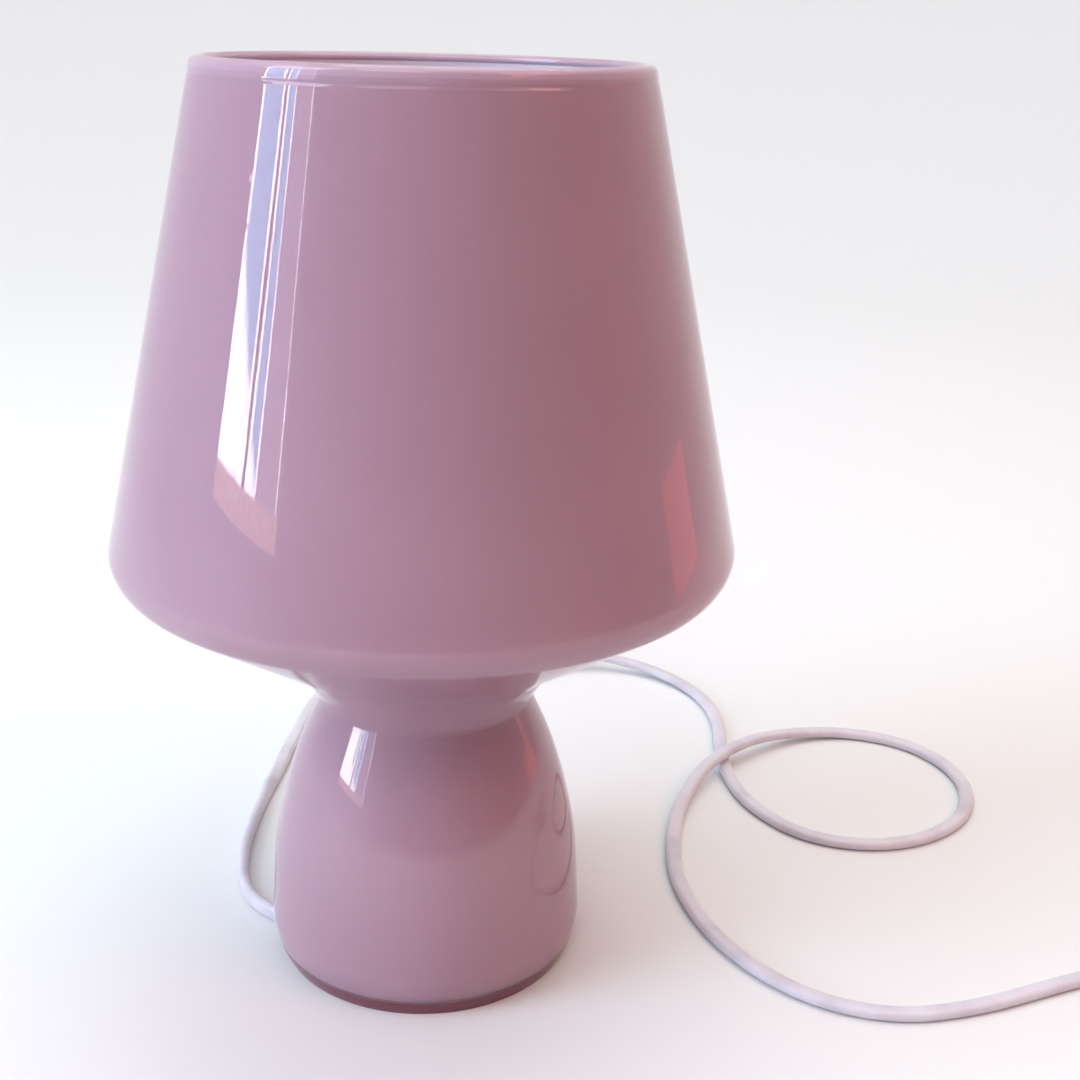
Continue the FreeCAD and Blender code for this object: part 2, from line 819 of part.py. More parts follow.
def make_screw_shell(doc):
    """Brass shell that the bulb screws into."""
    outer, inner = size.shell_radius, size.shell_radius - size.shell_skin
    turn_in = size.shell_skin * 5
    corners = [
        (inner - turn_in, size.core_floor),
        (outer, size.core_floor),
        (outer, size.core_top),
        (inner, size.core_top),
        (inner, size.core_floor + size.shell_skin),
        (inner - turn_in, size.core_floor + size.shell_skin),
    ]
    return turned(doc, "screw_shell", corners)


def make_centre_contact(doc):
    """Centre contact on the floor of the core."""
    corners = [
        (ZERO, size.core_floor),
        (size.contact_radius, size.core_floor),
        (size.contact_radius, size.contact_top - size.shell_skin),
        (size.contact_radius - size.shell_skin, size.contact_top),
        (ZERO, size.contact_top),
    ]
    return turned(doc, "centre_contact", corners)


def make_bulb_contact(doc):
    """Eyelet and insulator under the bulb's cap."""
    low, high = size.contact_top, size.bulb_base
    corners = [
        (ZERO, low),
        (size.bulb_eyelet, low),
        (size.bulb_eyelet + 0.4, low + 0.8),
        (size.bulb_cap_radius - 2.0, high),
        (ZERO, high),
    ]
    return turned(doc, "bulb_contact", corners)


def make_bulb_cap(doc):
    """Screw cap of the bulb, with a collar for the glass."""
    low, high = size.bulb_base, size.bulb_cap_top
    corners = [
        (ZERO, low),
        (size.bulb_cap_radius - 1.6, low),
        (size.bulb_cap_radius, low + 1.6),
        (size.bulb_cap_radius, high - 1.4),
        (size.bulb_collar, high),
        (size.bulb_collar, high + size.bulb_collar_height),
        (ZERO, high + size.bulb_collar_height),
    ]
    return turned(doc, "bulb_cap", corners)


def make_bulb_glass(doc):
    """Round frosted bulb: a ball on a short flared neck."""
    body = new_body(doc, "bulb_glass")
    sketch = new_sketch(body, "bulb_section", "XZ_Plane")
    foot = size.bulb_cap_top + size.bulb_collar_height
    radius = size.bulb_radius
    centre = size.bulb_top - radius
    neck = size.bulb_collar
    joint = math.acos((size.bulb_meet.value - centre.value) / radius.value)
    meet = Vector(radius.value * math.sin(joint), centre.value + radius.value * math.cos(joint), 0)
    places = [Vector(0, foot.value, 0), Vector(neck.value, foot.value, 0), meet]
    base = sketch.addGeometry(Part.LineSegment(places[0], places[1]), False)
    flare = sketch.addGeometry(Part.LineSegment(places[1], places[2]), False)
    ball = Part.Circle(Vector(0, centre.value, 0), AXIS_Z, radius.value)
    start = math.atan2(meet.y - centre.value, meet.x)
    arc = sketch.addGeometry(Part.ArcOfCircle(ball, start, math.pi / 2), False)
    axis = sketch.addGeometry(Part.LineSegment(Vector(0, size.bulb_top.value, 0), places[0]), False)
    joints = ((base, 2, flare, 1), (flare, 2, arc, 1), (arc, 2, axis, 1), (axis, 2, base, 1))
    for first, end, second, begin in joints:
        sketch.addConstraint(Sketcher.Constraint("Coincident", first, end, second, begin))
    fix_point(sketch, base, 1, ZERO, foot)
    fix_point(sketch, base, 2, neck, foot)
    fix_point(sketch, arc, 3, ZERO, centre)
    sketch.addConstraint(Sketcher.Constraint("PointOnObject", arc, 2, -2))
    index = sketch.addConstraint(Sketcher.Constraint("Radius", arc, radius.value))
    sketch.setExpression(f"Constraints[{index}]", radius.text)
    fix_value(sketch, "DistanceY", flare, 2, size.bulb_meet)
    revolve(body, sketch, "bulb_turn")
    return body


# ---------------------------------------------------------------- cord


def arc_between(start, head, end):
    """Arc that leaves start along head and passes through end."""
    chord = end - start
    angle = head.getAngle(chord)
    if angle < 1e-6:
        return Part.LineSegment(start, end)
    centre_line = (start + end) * 0.5
    meet = start + head * (chord.Length / 2 / math.cos(angle))
    middle = centre_line + (meet - centre_line) * (math.tan(angle / 2) / math.tan(angle))
    return Part.Arc(start, middle, end)


def biarc(start, head, end, tail):
    """Two arcs that join two points with their directions."""
    span = end - start
    both = head + tail
    bend = 2 * (1 - head.dot(tail))
    along = span.dot(both)
    reach = (math.sqrt(along * along + bend * span.dot(span)) - along) / bend
    middle = (start + head * reach + end - tail * reach) * 0.5
    turn = (end - tail * reach - start - head * reach).normalize()
    return [arc_between(start, head, middle), arc_between(middle, turn, end)]


def route_edges(label, places):
    """Straight runs joined by tangent arcs as large as the runs allow."""
    points = [Vector(*place) for place in places]
    edges, here, least = [], points[0], 1e9
    for before, corner, after in zip(points, points[1:], points[2:]):
        head_in = (corner - before).normalize()
        head_out = (after - corner).normalize()
        half = head_in.getAngle(head_out) / 2
        reach = SHARE_OF_RUN * min((corner - before).Length, (after - corner).Length)
        radius = reach / math.tan(half)
        least = min(least, radius)
        enter, leave = corner - head_in * reach, corner + head_out * reach
        edges.append(Part.LineSegment(here, enter).toShape())
        edges.append(arc_between(enter, head_in, leave).toShape())
        here = leave
    edges.append(Part.LineSegment(here, points[-1]).toShape())
    print(f"{label}: smallest bend {least:.1f} mm")
    return edges


def tube_along(label, edges):
    """Round cord along a row of edges, its volume held against section times length."""
    path = Part.Wire(edges)
    radius = size.cord_diameter.value / 2
    start = edges[0].valueAt(edges[0].FirstParameter)
    heading = edges[0].tangentAt(edges[0].FirstParameter)
    section = Part.Wire([Part.Circle(start, heading, radius).toShape()])
    solid = path.makePipeShell([section], True, False)
    ideal = math.pi * radius * radius * path.Length
    print(f"{label}: length {path.Length:.1f} mm, volume {solid.Volume / ideal:.4f} of section x length")
    return solid


def add_feature(doc, label, shape):
    """Puts a finished shape in the document under its name."""
    feature = doc.addObject("Part::Feature", label)
    feature.Label = label
    feature.Shape = shape
    return feature


def coil_edges():
    """Two layers of half turns: inwards on the table, up at the inner end, and outwards."""
    centre = Vector(size.coil_east.value, size.coil_north.value, size.coil_level.value)
    pitch, lift = size.coil_pitch.value, size.coil_lift.value
    radius = size.coil_start.value
    edges = []
    place = centre + Vector(0, -radius, 0)
    side = -1.0
    lead = Vector(place.x - size.cord_diameter.value, place.y, place.z)
    edges.append(Part.LineSegment(lead, place).toShape())

    def half_turn(start, facing, reach):
        """One flat half turn to the left, from the near side to the far side or back."""
        hub = start - Vector(0, facing * reach, 0)
        middle = hub + Vector(-facing * reach, 0, 0)
        end = hub - Vector(0, facing * reach, 0)
        edges.append(Part.Arc(start, middle, end).toShape())
        return end

    for _ in range(LAYER_HALF_TURNS):
        place = half_turn(place, side, radius)
        side = -side
        radius -= pitch / 2
    place = climb(edges, place, side, radius, lift)
    side = -side
    for _ in range(LAST_HALF_TURNS):
        radius += pitch / 2
        place = half_turn(place, side, radius)
        side = -side
    heading = Vector(-side, 0, 0)
    edges.append(Part.LineSegment(place, place + heading * size.cord_diameter.value).toShape())
    return edges


def climb(edges, start, side, radius, lift):
    """Half turn that rises one layer, as two biarcs of a quarter turn each."""
    hub = start - Vector(0, side * radius, 0)
    middle = hub + Vector(-side * radius, 0, lift / 2)
    end = hub + Vector(0, -side * radius, lift)
    head = Vector(-side, 0, 0)
    slope = lift / (math.pi * radius) * 1.5
    steep = Vector(0, -side, slope).normalize()
    for arc in biarc(start, head, middle, steep) + biarc(middle, steep, end, head * -1):
        edges.append(arc.toShape())
    return end


def least_gap(edges):
    """Smallest space between turns, measured on points along the middle line."""
    spacing = 2.0
    diameter = size.cord_diameter.value
    points = []
    for edge in edges:
        count = max(2, int(edge.Length / spacing))
        points += edge.discretize(count)[:-1]
    run = [0.0]
    for here, there in zip(points, points[1:]):
        run.append(run[-1] + (there - here).Length)
    far = math.pi * 4 * diameter
    gaps = []
    for first, place in enumerate(points):
        for second in range(first + 1, len(points)):
            if run[second] - run[first] > far:
                gaps.append((points[second] - place).Length)
    return min(gaps) - diameter


def make_cords(doc):
    """Every stretch of the cord, each a solid of its own."""
    made = []
    for label, route in (("cord_inner", INNER_ROUTE), ("cord_lamp", LAMP_ROUTE), ("cord_loop", LOOP_ROUTE)):
        made.append(add_feature(doc, label, tube_along(label, route_edges(label, route))))
    coil = coil_edges()
    print(f"cord_coil: least gap to itself {least_gap(coil):.2f} mm")
    made.append(add_feature(doc, "cord_coil", tube_along("cord_coil", coil)))
    end = coil[-1].valueAt(coil[-1].LastParameter)
    tail = tail_route(end)
    made.append(add_feature(doc, "cord_tail", tube_along("cord_tail", route_edges("cord_tail", tail))))
    return made


def tail_route(start):
    """From the top of the coil down to the table and into the plug."""
    east = size.plug_east.value
    north = size.plug_north.value - size.relief_length.value
    level = size.plug_thick.value / 2
    return [
        (start.x, start.y, start.z),
        (start.x + 17.0, start.y, start.z),
        (east - 10.0, start.y + 4.5, level + 0.8),
        (east, north - 13.0, level),
        (east, north, level),
    ]


def make_tie(doc):
    """Strap round the coil's turns, on its far side from the lamp."""
    pitch = size.coil_pitch
    radius = size.cord_diameter / 2
    outer = size.coil_start + radius + pitch / 2
    inner = size.coil_start - pitch * 2.0 - radius
    top = size.coil_level + size.coil_lift + radius + size.tie_gap
    thick = size.tie_thick
    block = doc.addObject("Part::Box", "tie_blank")
    bind(block, "Length", outer - inner + thick * 2)
    bind(block, "Width", size.tie_width)
    bind(block, "Height", top + thick)
    hollow = doc.addObject("Part::Box", "tie_hollow")
    bind(hollow, "Length", outer - inner)
    bind(hollow, "Width", size.tie_width)
    bind(hollow, "Height", top - thick)
    bind(hollow, ".Placement.Base.x", thick)
    bind(hollow, ".Placement.Base.z", thick)
    cut = doc.addObject("Part::Cut", "coil_tie")
    cut.Base = block
    cut.Tool = hollow
    cut.Label = "coil_tie"
    bind(cut, ".Placement.Base.x", size.coil_east + inner - thick)
    bind(cut, ".Placement.Base.y", size.coil_north - size.tie_width / 2)
    return cut


# ---------------------------------------------------------------- switch


def slab(body, name, length, width):
    """Sketch of a rectangle with half-round ends in the XY plane, centred on the origin."""
    sketch = new_sketch(body, name, "XY_Plane")
    half = width / 2
    reach = length / 2 - half
    corners = [Vector(-reach.value, half.value, 0), Vector(reach.value, half.value, 0)]
    top = sketch.addGeometry(Part.LineSegment(corners[1], corners[0]), False)
    low = sketch.addGeometry(Part.LineSegment(corners[0] - Vector(0, width.value, 0),
                                              corners[1] - Vector(0, width.value, 0)), False)
    east = Part.Circle(Vector(reach.value, 0, 0), AXIS_Z, half.value)
    west = Part.Circle(Vector(-reach.value, 0, 0), AXIS_Z, half.value)
    right = sketch.addGeometry(Part.ArcOfCircle(east, -math.pi / 2, math.pi / 2), False)
    left = sketch.addGeometry(Part.ArcOfCircle(west, math.pi / 2, 3 * math.pi / 2), False)
    joints = ((low, 2, right, 1), (right, 2, top, 1), (top, 2, left, 1), (left, 2, low, 1))
    for first, end, second, begin in joints:
        sketch.addConstraint(Sketcher.Constraint("Tangent", first, end, second, begin))
    fix_point(sketch, right, 3, reach, ZERO)
    fix_value(sketch, "DistanceY", right, 2, half)
    sketch.addConstraint(Sketcher.Constraint("Symmetric", right, 3, left, 3, -1, 1))
    return sketch


def box_sketch(body, name, plane, length, width):
    """Sketch of a rectangle centred on the origin."""
    sketch = new_sketch(body, name, plane)
    across, up = length / 2, width / 2
    polygon(sketch, [(across * -1, up * -1), (across, up * -1), (across, up), (across * -1, up)])
    return sketch


def place_switch(item):
    """Puts a piece of the switch at its place on the cord."""
    bind(item, ".Placement.Base.x", size.switch_west + size.switch_length / 2)
    bind(item, ".Placement.Base.y", size.switch_north)


def make_switch_lower(doc):
    """Lower half of the switch housing, open inside under the rocker."""
    body = new_body(doc, "switch_lower")
    sketch = slab(body, "switch_lower_outline", size.switch_length, size.switch_width)
    block = pad(body, sketch, size.switch_seam, "switch_lower_block")
    doc.recompute()
    low = edges_where(block.Shape, lambda edge, at: abs(at.z) < 0.01)
    dress(body, "PartDesign::Chamfer", "switch_lower_edge", block, low, "Size", size.switch_edge / 2)
    doc.recompute()
    before = body.Shape.Volume
    hollow = box_sketch(body, "switch_hollow_section", "XY_Plane",
                        size.window_length + 2.0, size.window_width + 2.0)
    pocket = body.newObject("PartDesign::Pocket", "switch_hollow")
    pocket.Profile = hollow
    hollow.setExpression(".AttachmentOffset.Base.z", size.switch_skin.text)
    pocket.Reversed = True
    bind(pocket, "Length", size.switch_seam)
    report_cut(doc, body, before, "hollow of the switch")
    before = body.Shape.Volume
    for name, side in (("west", -1.0), ("east", 1.0)):
        cut_screw_seat(body, name, side)
    report_cut(doc, body, before, "screw seats of the switch")
    place_switch(body)
    return body


def screw_place(side):
    """Where a screw stands, measured from the middle of the switch."""
    return (size.switch_length / 2 - size.switch_screw_inset) * side


def cut_screw_seat(body, name, side):
    """Round seat for a screw in the underside."""
    sketch = new_sketch(body, f"seat_{name}_section", "XY_Plane")
    middle = screw_place(side)
    circle = Part.Circle(Vector(middle.value, 0, 0), AXIS_Z, size.switch_screw_radius.value)
    hole = sketch.addGeometry(circle, False)
    fix_point(sketch, hole, 3, middle, ZERO)
    index = sketch.addConstraint(Sketcher.Constraint("Radius", hole, size.switch_screw_radius.value))
    sketch.setExpression(f"Constraints[{index}]", size.switch_screw_radius.text)
    pocket = body.newObject("PartDesign::Pocket", f"seat_{name}")
    pocket.Profile = sketch
    pocket.Reversed = True
    bind(pocket, "Length", size.switch_screw_depth)


def make_switch_upper(doc):
    """Upper half of the switch housing, with the rocker's window and pin holes."""
    body = new_body(doc, "switch_upper")
    sketch = slab(body, "switch_upper_outline", size.switch_length, size.switch_width)
    sketch.setExpression(".AttachmentOffset.Base.z", size.switch_seam.text)
    block = pad(body, sketch, size.switch_top - size.switch_seam, "switch_upper_block")
    doc.recompute()
    high = edges_where(block.Shape, lambda edge, at: abs(at.z - size.switch_top.value) < 0.01)
    dress(body, "PartDesign::Fillet", "switch_upper_edge", block, high, "Radius", size.switch_edge)
    doc.recompute()
    before = body.Shape.Volume
    window = box_sketch(body, "window_section", "XY_Plane", size.window_length, size.window_width)
    pocket = body.newObject("PartDesign::Pocket", "window")
    pocket.Profile = window
    pocket.Reversed = True
    bind(pocket, "Length", size.switch_top + 1.0)
    report_cut(doc, body, before, "window of the switch")
    before = body.Shape.Volume
    hole = new_sketch(body, "pin_hole_section", "XZ_Plane")
    circle = Part.Circle(Vector(0, size.pin_level.value, 0), AXIS_Z, size.pin_radius.value)
    ring = hole.addGeometry(circle, False)
    fix_point(hole, ring, 3, ZERO, size.pin_level)
    index = hole.addConstraint(Sketcher.Constraint("Radius", ring, size.pin_radius.value))
    hole.setExpression(f"Constraints[{index}]", size.pin_radius.text)
    bore = body.newObject("PartDesign::Pocket", "pin_hole")
    bore.Profile = hole
    bore.Midplane = True
    bind(bore, "Length", size.window_width + size.switch_skin * 2)
    report_cut(doc, body, before, "pin holes of the switch")
    place_switch(body)
    return body


def make_pin(doc):
    """Steel pin that the rocker turns on."""
    pin = doc.addObject("Part::Cylinder", "rocker_pin")
    pin.Label = "rocker_pin"
    length = size.window_width + size.switch_skin * 2
    bind(pin, "Radius", size.pin_radius)
    bind(pin, "Height", length)
    pin.Placement = Placement(Vector(0, 0, 0), Rotation(Vector(1, 0, 0), 90))
    bind(pin, ".Placement.Base.x", size.switch_west + size.switch_length / 2)
    bind(pin, ".Placement.Base.y", size.switch_north + length / 2)
    bind(pin, ".Placement.Base.z", size.pin_level)
    return pin


def make_rocker(doc):
    """Rocker with its two slopes, at rest with the end nearer the lamp down."""
    body = new_body(doc, "rocker")
    half = size.window_length / 2 - size.rocker_end_gap
    top = size.switch_top + size.rocker_rise - size.pin_level
    dip = size.switch_top + size.rocker_dip - size.pin_level
    sketch = new_sketch(body, "rocker_section", "XZ_Plane")
    polygon(sketch, [
        (half * -0.72, size.pin_radius * -2.2),
        (half * 0.72, size.pin_radius * -2.2),
        (half, ZERO),
        (half, top - size.rocker_edge),
        (half * 0.86, top),
        (ZERO, dip),
        (half * -0.86, top),
        (half * -1.0, top - size.rocker_edge),
        (half * -1.0, ZERO),
    ])
    pad(body, sketch, size.window_width - size.rocker_gap * 2, "rocker_block", middle=True)
    doc.recompute()
    before = body.Shape.Volume
    radius = size.pin_radius + size.pin_clearance
    hole = new_sketch(body, "rocker_bore_section", "XZ_Plane")
    ring = hole.addGeometry(Part.Circle(Vector(0, 0, 0), AXIS_Z, radius.value), False)
    hole.addConstraint(Sketcher.Constraint("Coincident", ring, 3, -1, 1))
    index = hole.addConstraint(Sketcher.Constraint("Radius", ring, radius.value))
    hole.setExpression(f"Constraints[{index}]", radius.text)
    bore = body.newObject("PartDesign::Pocket", "rocker_bore")
    bore.Profile = hole
    bore.Midplane = True
    bind(bore, "Length", size.window_width)
    report_cut(doc, body, before, "bore of the rocker")
    body.Placement = Placement(Vector(0, 0, 0), Rotation(Vector(0, -1, 0), size.rocker_tilt.value))
    place_switch(body)
    bind(body, ".Placement.Base.z", size.pin_level)
    bind(body, ".Placement.Rotation.Angle", size.rocker_tilt)
    return body


def make_switch_screws(doc):
    """Two slotted screws in the underside of the switch."""
    made = []
    for name, side in (("west", -1.0), ("east", 1.0)):
        label = f"switch_screw_{name}"
        head = doc.addObject("Part::Cylinder", f"{label}_head")
        bind(head, "Radius", size.switch_screw_radius)
        bind(head, "Height", size.switch_screw_depth - size.switch_screw_sunk)
        slot = doc.addObject("Part::Box", f"{label}_slot")
        bind(slot, "Length", size.switch_screw_radius * 2)
        bind(slot, "Width", size.screw_slot)
        bind(slot, "Height", size.screw_slot)
        bind(slot, ".Placement.Base.x", size.switch_screw_radius * -1)
        bind(slot, ".Placement.Base.y", size.screw_slot / -2)
        cut = doc.addObject("Part::Cut", label)
        cut.Base = head
        cut.Tool = slot
        cut.Label = label
        bind(cut, ".Placement.Base.x", size.switch_west + size.switch_length / 2 + screw_place(side))
        bind(cut, ".Placement.Base.y", size.switch_north)
        bind(cut, ".Placement.Base.z", size.switch_screw_sunk)
        made.append(cut)
    return made


# ---------------------------------------------------------------- plug


def place_plug(item, forward):
    """Puts a piece of the plug at its place, a distance along its length."""
    bind(item, ".Placement.Base.x", size.plug_east)
    bind(item, ".Placement.Base.y", size.plug_north + forward)


def make_plug_body(doc):
    """Flat body that widens towards the pins."""
    body = new_body(doc, "plug_body")
    sketch = new_sketch(body, "plug_outline", "XY_Plane")
    back, face = size.plug_back_width / 2, size.plug_face_width / 2
    length = size.plug_length
    polygon(sketch, [
        (back * -1, ZERO),
        (back, ZERO),
        (back, length * 0.25),
        (face, length * 0.72),
        (face, length),
        (face * -1, length),
        (face * -1, length * 0.72),
        (back * -1, length * 0.25),
    ])
    block = pad(body, sketch, size.plug_thick, "plug_block")
    doc.recompute()
    upright = edges_where(block.Shape, lambda edge, at: abs(at.z - size.plug_thick.value / 2) < 0.01)
    dress(body, "PartDesign::Fillet", "plug_corners", block, upright, "Radius", size.plug_edge)
    doc.recompute()
    tip = body.Tip
    flat = edges_where(tip.Shape, lambda edge, at: at.z < 0.01 or at.z > size.plug_thick.value - 0.01)
    dress(body, "PartDesign::Fillet", "plug_edges", tip, flat, "Radius", size.plug_edge * 0.7)
    place_plug(body, ZERO)
    return body


def make_plug_pins(doc):
    """Two round pins with rounded tips."""
    made = []
    for name, side in (("west", -1.0), ("east", 1.0)):
        label = f"plug_pin_{name}"
        edge = size.plug_pin_radius / 2
        pin = turned(doc, label, [
            (ZERO, ZERO),
            (size.plug_pin_radius, ZERO),
            (size.plug_pin_radius, size.plug_pin_length - edge),
            (size.plug_pin_radius - edge, size.plug_pin_length),
            (ZERO, size.plug_pin_length),
        ])
        pin.Placement = Placement(Vector(0, 0, 0), Rotation(Vector(1, 0, 0), -90))
        bind(pin, ".Placement.Base.x", size.plug_east + size.plug_pin_spread / 2 * side)
        bind(pin, ".Placement.Base.y", size.plug_north + size.plug_length)
        bind(pin, ".Placement.Base.z", size.plug_thick / 2)
        made.append(pin)
    return made


def make_plug_relief(doc):
    """Ribbed, tapered sleeve where the cord enters the plug."""
    ribs = 4
    low = size.cord_diameter / 2 + size.relief_skin
    step = size.relief_length / (ribs * 2)
    corners = [(ZERO, ZERO), (low, ZERO)]
    for index in range(ribs):
        swell = low + (size.relief_radius - low) * ((index + 1) / ribs) + size.relief_rib
        corners.append((swell - size.relief_rib, step * (index * 2 + 0.4)))
        corners.append((swell, step * (index * 2 + 0.7)))
        corners.append((swell, step * (index * 2 + 1.5)))
        corners.append((swell - size.relief_rib, step * (index * 2 + 1.8)))
    corners.append((size.relief_radius, size.relief_length))
    corners.append((ZERO, size.relief_length))
    relief = turned(doc, "plug_relief", corners)
    relief.Placement = Placement(Vector(0, 0, 0), Rotation(Vector(1, 0, 0), -90))
    bind(relief, ".Placement.Base.x", size.plug_east)
    bind(relief, ".Placement.Base.y", size.plug_north - size.relief_length)
    bind(relief, ".Placement.Base.z", size.plug_thick / 2)
    return relief


# ---------------------------------------------------------------- whole lamp


def build(doc):
    """Makes every piece and returns them in order."""
    lower_nut = size.bar_level - size.washer_thick - size.nut_thick
    upper_nut = size.dish_level + size.sheet_steel
    pieces = [
        make_casing(doc),
        make_lining(doc),
        make_dish(doc),
        make_bar(doc),
        make_washer(doc),
        make_nut(doc, "lower_nut", lower_nut),
        make_nut(doc, "upper_nut", upper_nut),
        make_tube(doc),
        make_grip(doc),
        make_grip_screw(doc),
        make_holder_cap(doc),
        make_holder_sleeve(doc),
        make_holder_core(doc),
        make_screw_shell(doc),
        make_centre_contact(doc),
        make_bulb_contact(doc),
        make_bulb_cap(doc),
        make_bulb_glass(doc),
        make_switch_lower(doc),
        make_switch_upper(doc),
        make_pin(doc),
        make_rocker(doc),
        make_tie(doc),
        make_plug_body(doc),
        make_plug_relief(doc),
    ]
    pieces += make_switch_screws(doc)
    pieces += make_plug_pins(doc)
    pieces += make_cords(doc)
    return pieces


def check(doc, pieces):
    """Stops if an object failed or a piece has no valid shape."""
    for item in doc.Objects:
        if "Invalid" in item.State or "Error" in item.State:
            raise RuntimeError(f"{item.Label} failed: {item.State}")
    for piece in pieces:
        if piece.Shape.isNull() or not piece.Shape.isValid():
            raise RuntimeError(f"{piece.Label} has no valid shape")
        if len(piece.Shape.Solids) != 1:
            raise RuntimeError(f"{piece.Label} has {len(piece.Shape.Solids)} solids")


def main():
    """Builds the lamp and writes one file for each piece."""
    os.makedirs("parts", exist_ok=True)
    doc = FreeCAD.newDocument("MushroomLamp")
    make_sheet(doc)
    pieces = build(doc)
    doc.recompute()
    check(doc, pieces)
    for piece in pieces:
        piece.Shape.exportStep(os.path.join("parts", f"{piece.Label}.step"))
    print(f"{len(pieces)} pieces")


main()
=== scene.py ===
"""Mushroom table lamp in pink cased glass, dressed for a studio picture.

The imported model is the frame. Lengths are in metres unless a name ends in _mm.
"""
import logging
import math
from dataclasses import dataclass
from enum import Enum
from typing import Callable, Sequence

import bmesh
import bpy
from mathutils import Matrix, Vector


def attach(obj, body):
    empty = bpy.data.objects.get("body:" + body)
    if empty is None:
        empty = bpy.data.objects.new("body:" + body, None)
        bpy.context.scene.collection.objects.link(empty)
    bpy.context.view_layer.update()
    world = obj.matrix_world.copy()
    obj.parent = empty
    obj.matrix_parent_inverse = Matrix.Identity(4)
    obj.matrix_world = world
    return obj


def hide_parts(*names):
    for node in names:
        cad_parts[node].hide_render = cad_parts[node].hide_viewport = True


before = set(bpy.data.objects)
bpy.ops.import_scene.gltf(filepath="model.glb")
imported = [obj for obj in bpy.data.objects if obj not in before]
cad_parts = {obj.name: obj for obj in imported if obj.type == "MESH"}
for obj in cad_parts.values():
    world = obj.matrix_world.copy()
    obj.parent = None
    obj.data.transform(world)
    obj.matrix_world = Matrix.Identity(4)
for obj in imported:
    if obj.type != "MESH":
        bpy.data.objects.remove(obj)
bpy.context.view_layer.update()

MM = 0.001
FULL_TURN = 2 * math.pi
GLASS_SHARP_DEG = 50.0

Tree = bpy.types.NodeTree
Node = bpy.types.Node
Socket = bpy.types.NodeSocket
Mesh = bmesh.types.BMesh
Colour = tuple[float, float, float, float]
Place = tuple[float, float, float]

logging.basicConfig(level=logging.INFO, format="%(message)s")
LOG = logging.getLogger("lamp")


class BodyName(Enum):
    """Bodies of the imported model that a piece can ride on."""

    LAMP = "lamp"
    BULB = "bulb"
    BULB_BASE = "bulb_base"
    ROCKER = "rocker"


class Slot(Enum):
    """Names of the material slots."""

    PINK_GLASS = "pink_glass"
    OPAL_GLASS = "opal_glass"
    FROSTED_GLASS = "frosted_glass"
    ZINC = "zinc_steel"
    NICKEL = "nickel"
    SOLDER = "solder"
    BRASS = "brass"
    PLASTIC = "white_plastic"
    CORD = "white_cord"


# ---------------------------------------------------------------- materials


def linear(hex_value: str, alpha: float = 1.0) -> Colour:
    """Turns an sRGB hex value into a linear colour.

    Args:
        hex_value: six hex digits with a leading #.
        alpha: fourth value of the result.

    Returns:
        The linear red, green and blue, and alpha.
    """
    parts = [int(hex_value[i : i + 2], 16) / 255 for i in (1, 3, 5)]
    line = [p / 12.92 if p <= 0.04045 else ((p + 0.055) / 1.055) ** 2.4 for p in parts]
    return (line[0], line[1], line[2], alpha)


def add_node(
    tree: Tree,
    kind: str,
    inputs: dict[str | int, object] | None = None,
    settings: dict[str, object] | None = None,
) -> Node:
    """Adds a shader node, sets it and links what feeds it.

    Args:
        tree: the node tree to add to.
        kind: the node's type name.
        inputs: value or feeding socket for each input, by name or number.
        settings: the node's own properties.

    Returns:
        The new node.
    """
    node = tree.nodes.new(kind)
    for name, value in (settings or {}).items():
        setattr(node, name, value)
    for name, value in (inputs or {}).items():
        if isinstance(value, Socket):
            tree.links.new(value, node.inputs[name])
        else:
            node.inputs[name].default_value = value
    return node


def add_ramp(
    tree: Tree,
    factor: Socket,
    stops: Sequence[tuple[float, Sequence[float]]],
    change: str = "LINEAR",
) -> Socket:
    """Adds a colour ramp.

    Args:
        tree: the node tree to add to.
        factor: what the ramp reads.
        stops: position and linear colour of each stop.
        change: how it goes from stop to stop.

    Returns:
        The ramp's colour output.
    """
    node = add_node(tree, "ShaderNodeValToRGB", {"Fac": factor})
    ramp = node.color_ramp
    ramp.interpolation = change
    while len(ramp.elements) < len(stops):
        ramp.elements.new(0.5)
    for element, (position, colour) in zip(ramp.elements, stops):
        element.position = position
        element.color = colour
    return node.outputs["Color"]


def mix_colours(
    tree: Tree,
    share: Socket,
    first: Socket | Sequence[float],
    second: Socket | Sequence[float],
) -> Socket:
    """Mixes two colours.

    Args:
        tree: the node tree to add to.
        share: how much of the second.
        first: colour at 0.
        second: colour at 1.

    Returns:
        The mixed colour.
    """
    # The Mix node has sockets of the same name for each type: 6 and 7 are its colours.
    values = {0: share, 6: first, 7: second}
    return add_node(tree, "ShaderNodeMix", values, {"data_type": "RGBA"}).outputs[2]


@dataclass(frozen=True)
class Finish:
    """A surface finish that can make its own material.

    Attributes:
        name: the material's name.
    """

    name: str

    def begin(self) -> tuple[Tree, Node, Socket]:
        """Starts a material.

        Returns:
            The tree, its Principled shader and the Object coordinates.
        """
        material = bpy.data.materials.new(self.name)
        material.use_nodes = True
        tree = material.node_tree
        shader = tree.nodes["Principled BSDF"]
        where = add_node(tree, "ShaderNodeTexCoord").outputs["Object"]
        return tree, shader, where

    def paint(self, tree: Tree, shader: Node, where: Socket) -> None:
        """Sets the shader up; each finish has its own."""
        raise NotImplementedError

    def material(self) -> bpy.types.Material:
        """Gives the finish's material, made on first use."""
        made = bpy.data.materials.get(self.name)
        if made is None:
            tree, shader, where = self.begin()
            self.paint(tree, shader, where)
            made = bpy.data.materials[self.name]
        return made


def set_shader(shader: Node, values: dict[str, object]) -> None:
    """Sets constant sockets of a shader."""
    for name, value in values.items():
        shader.inputs[name].default_value = value


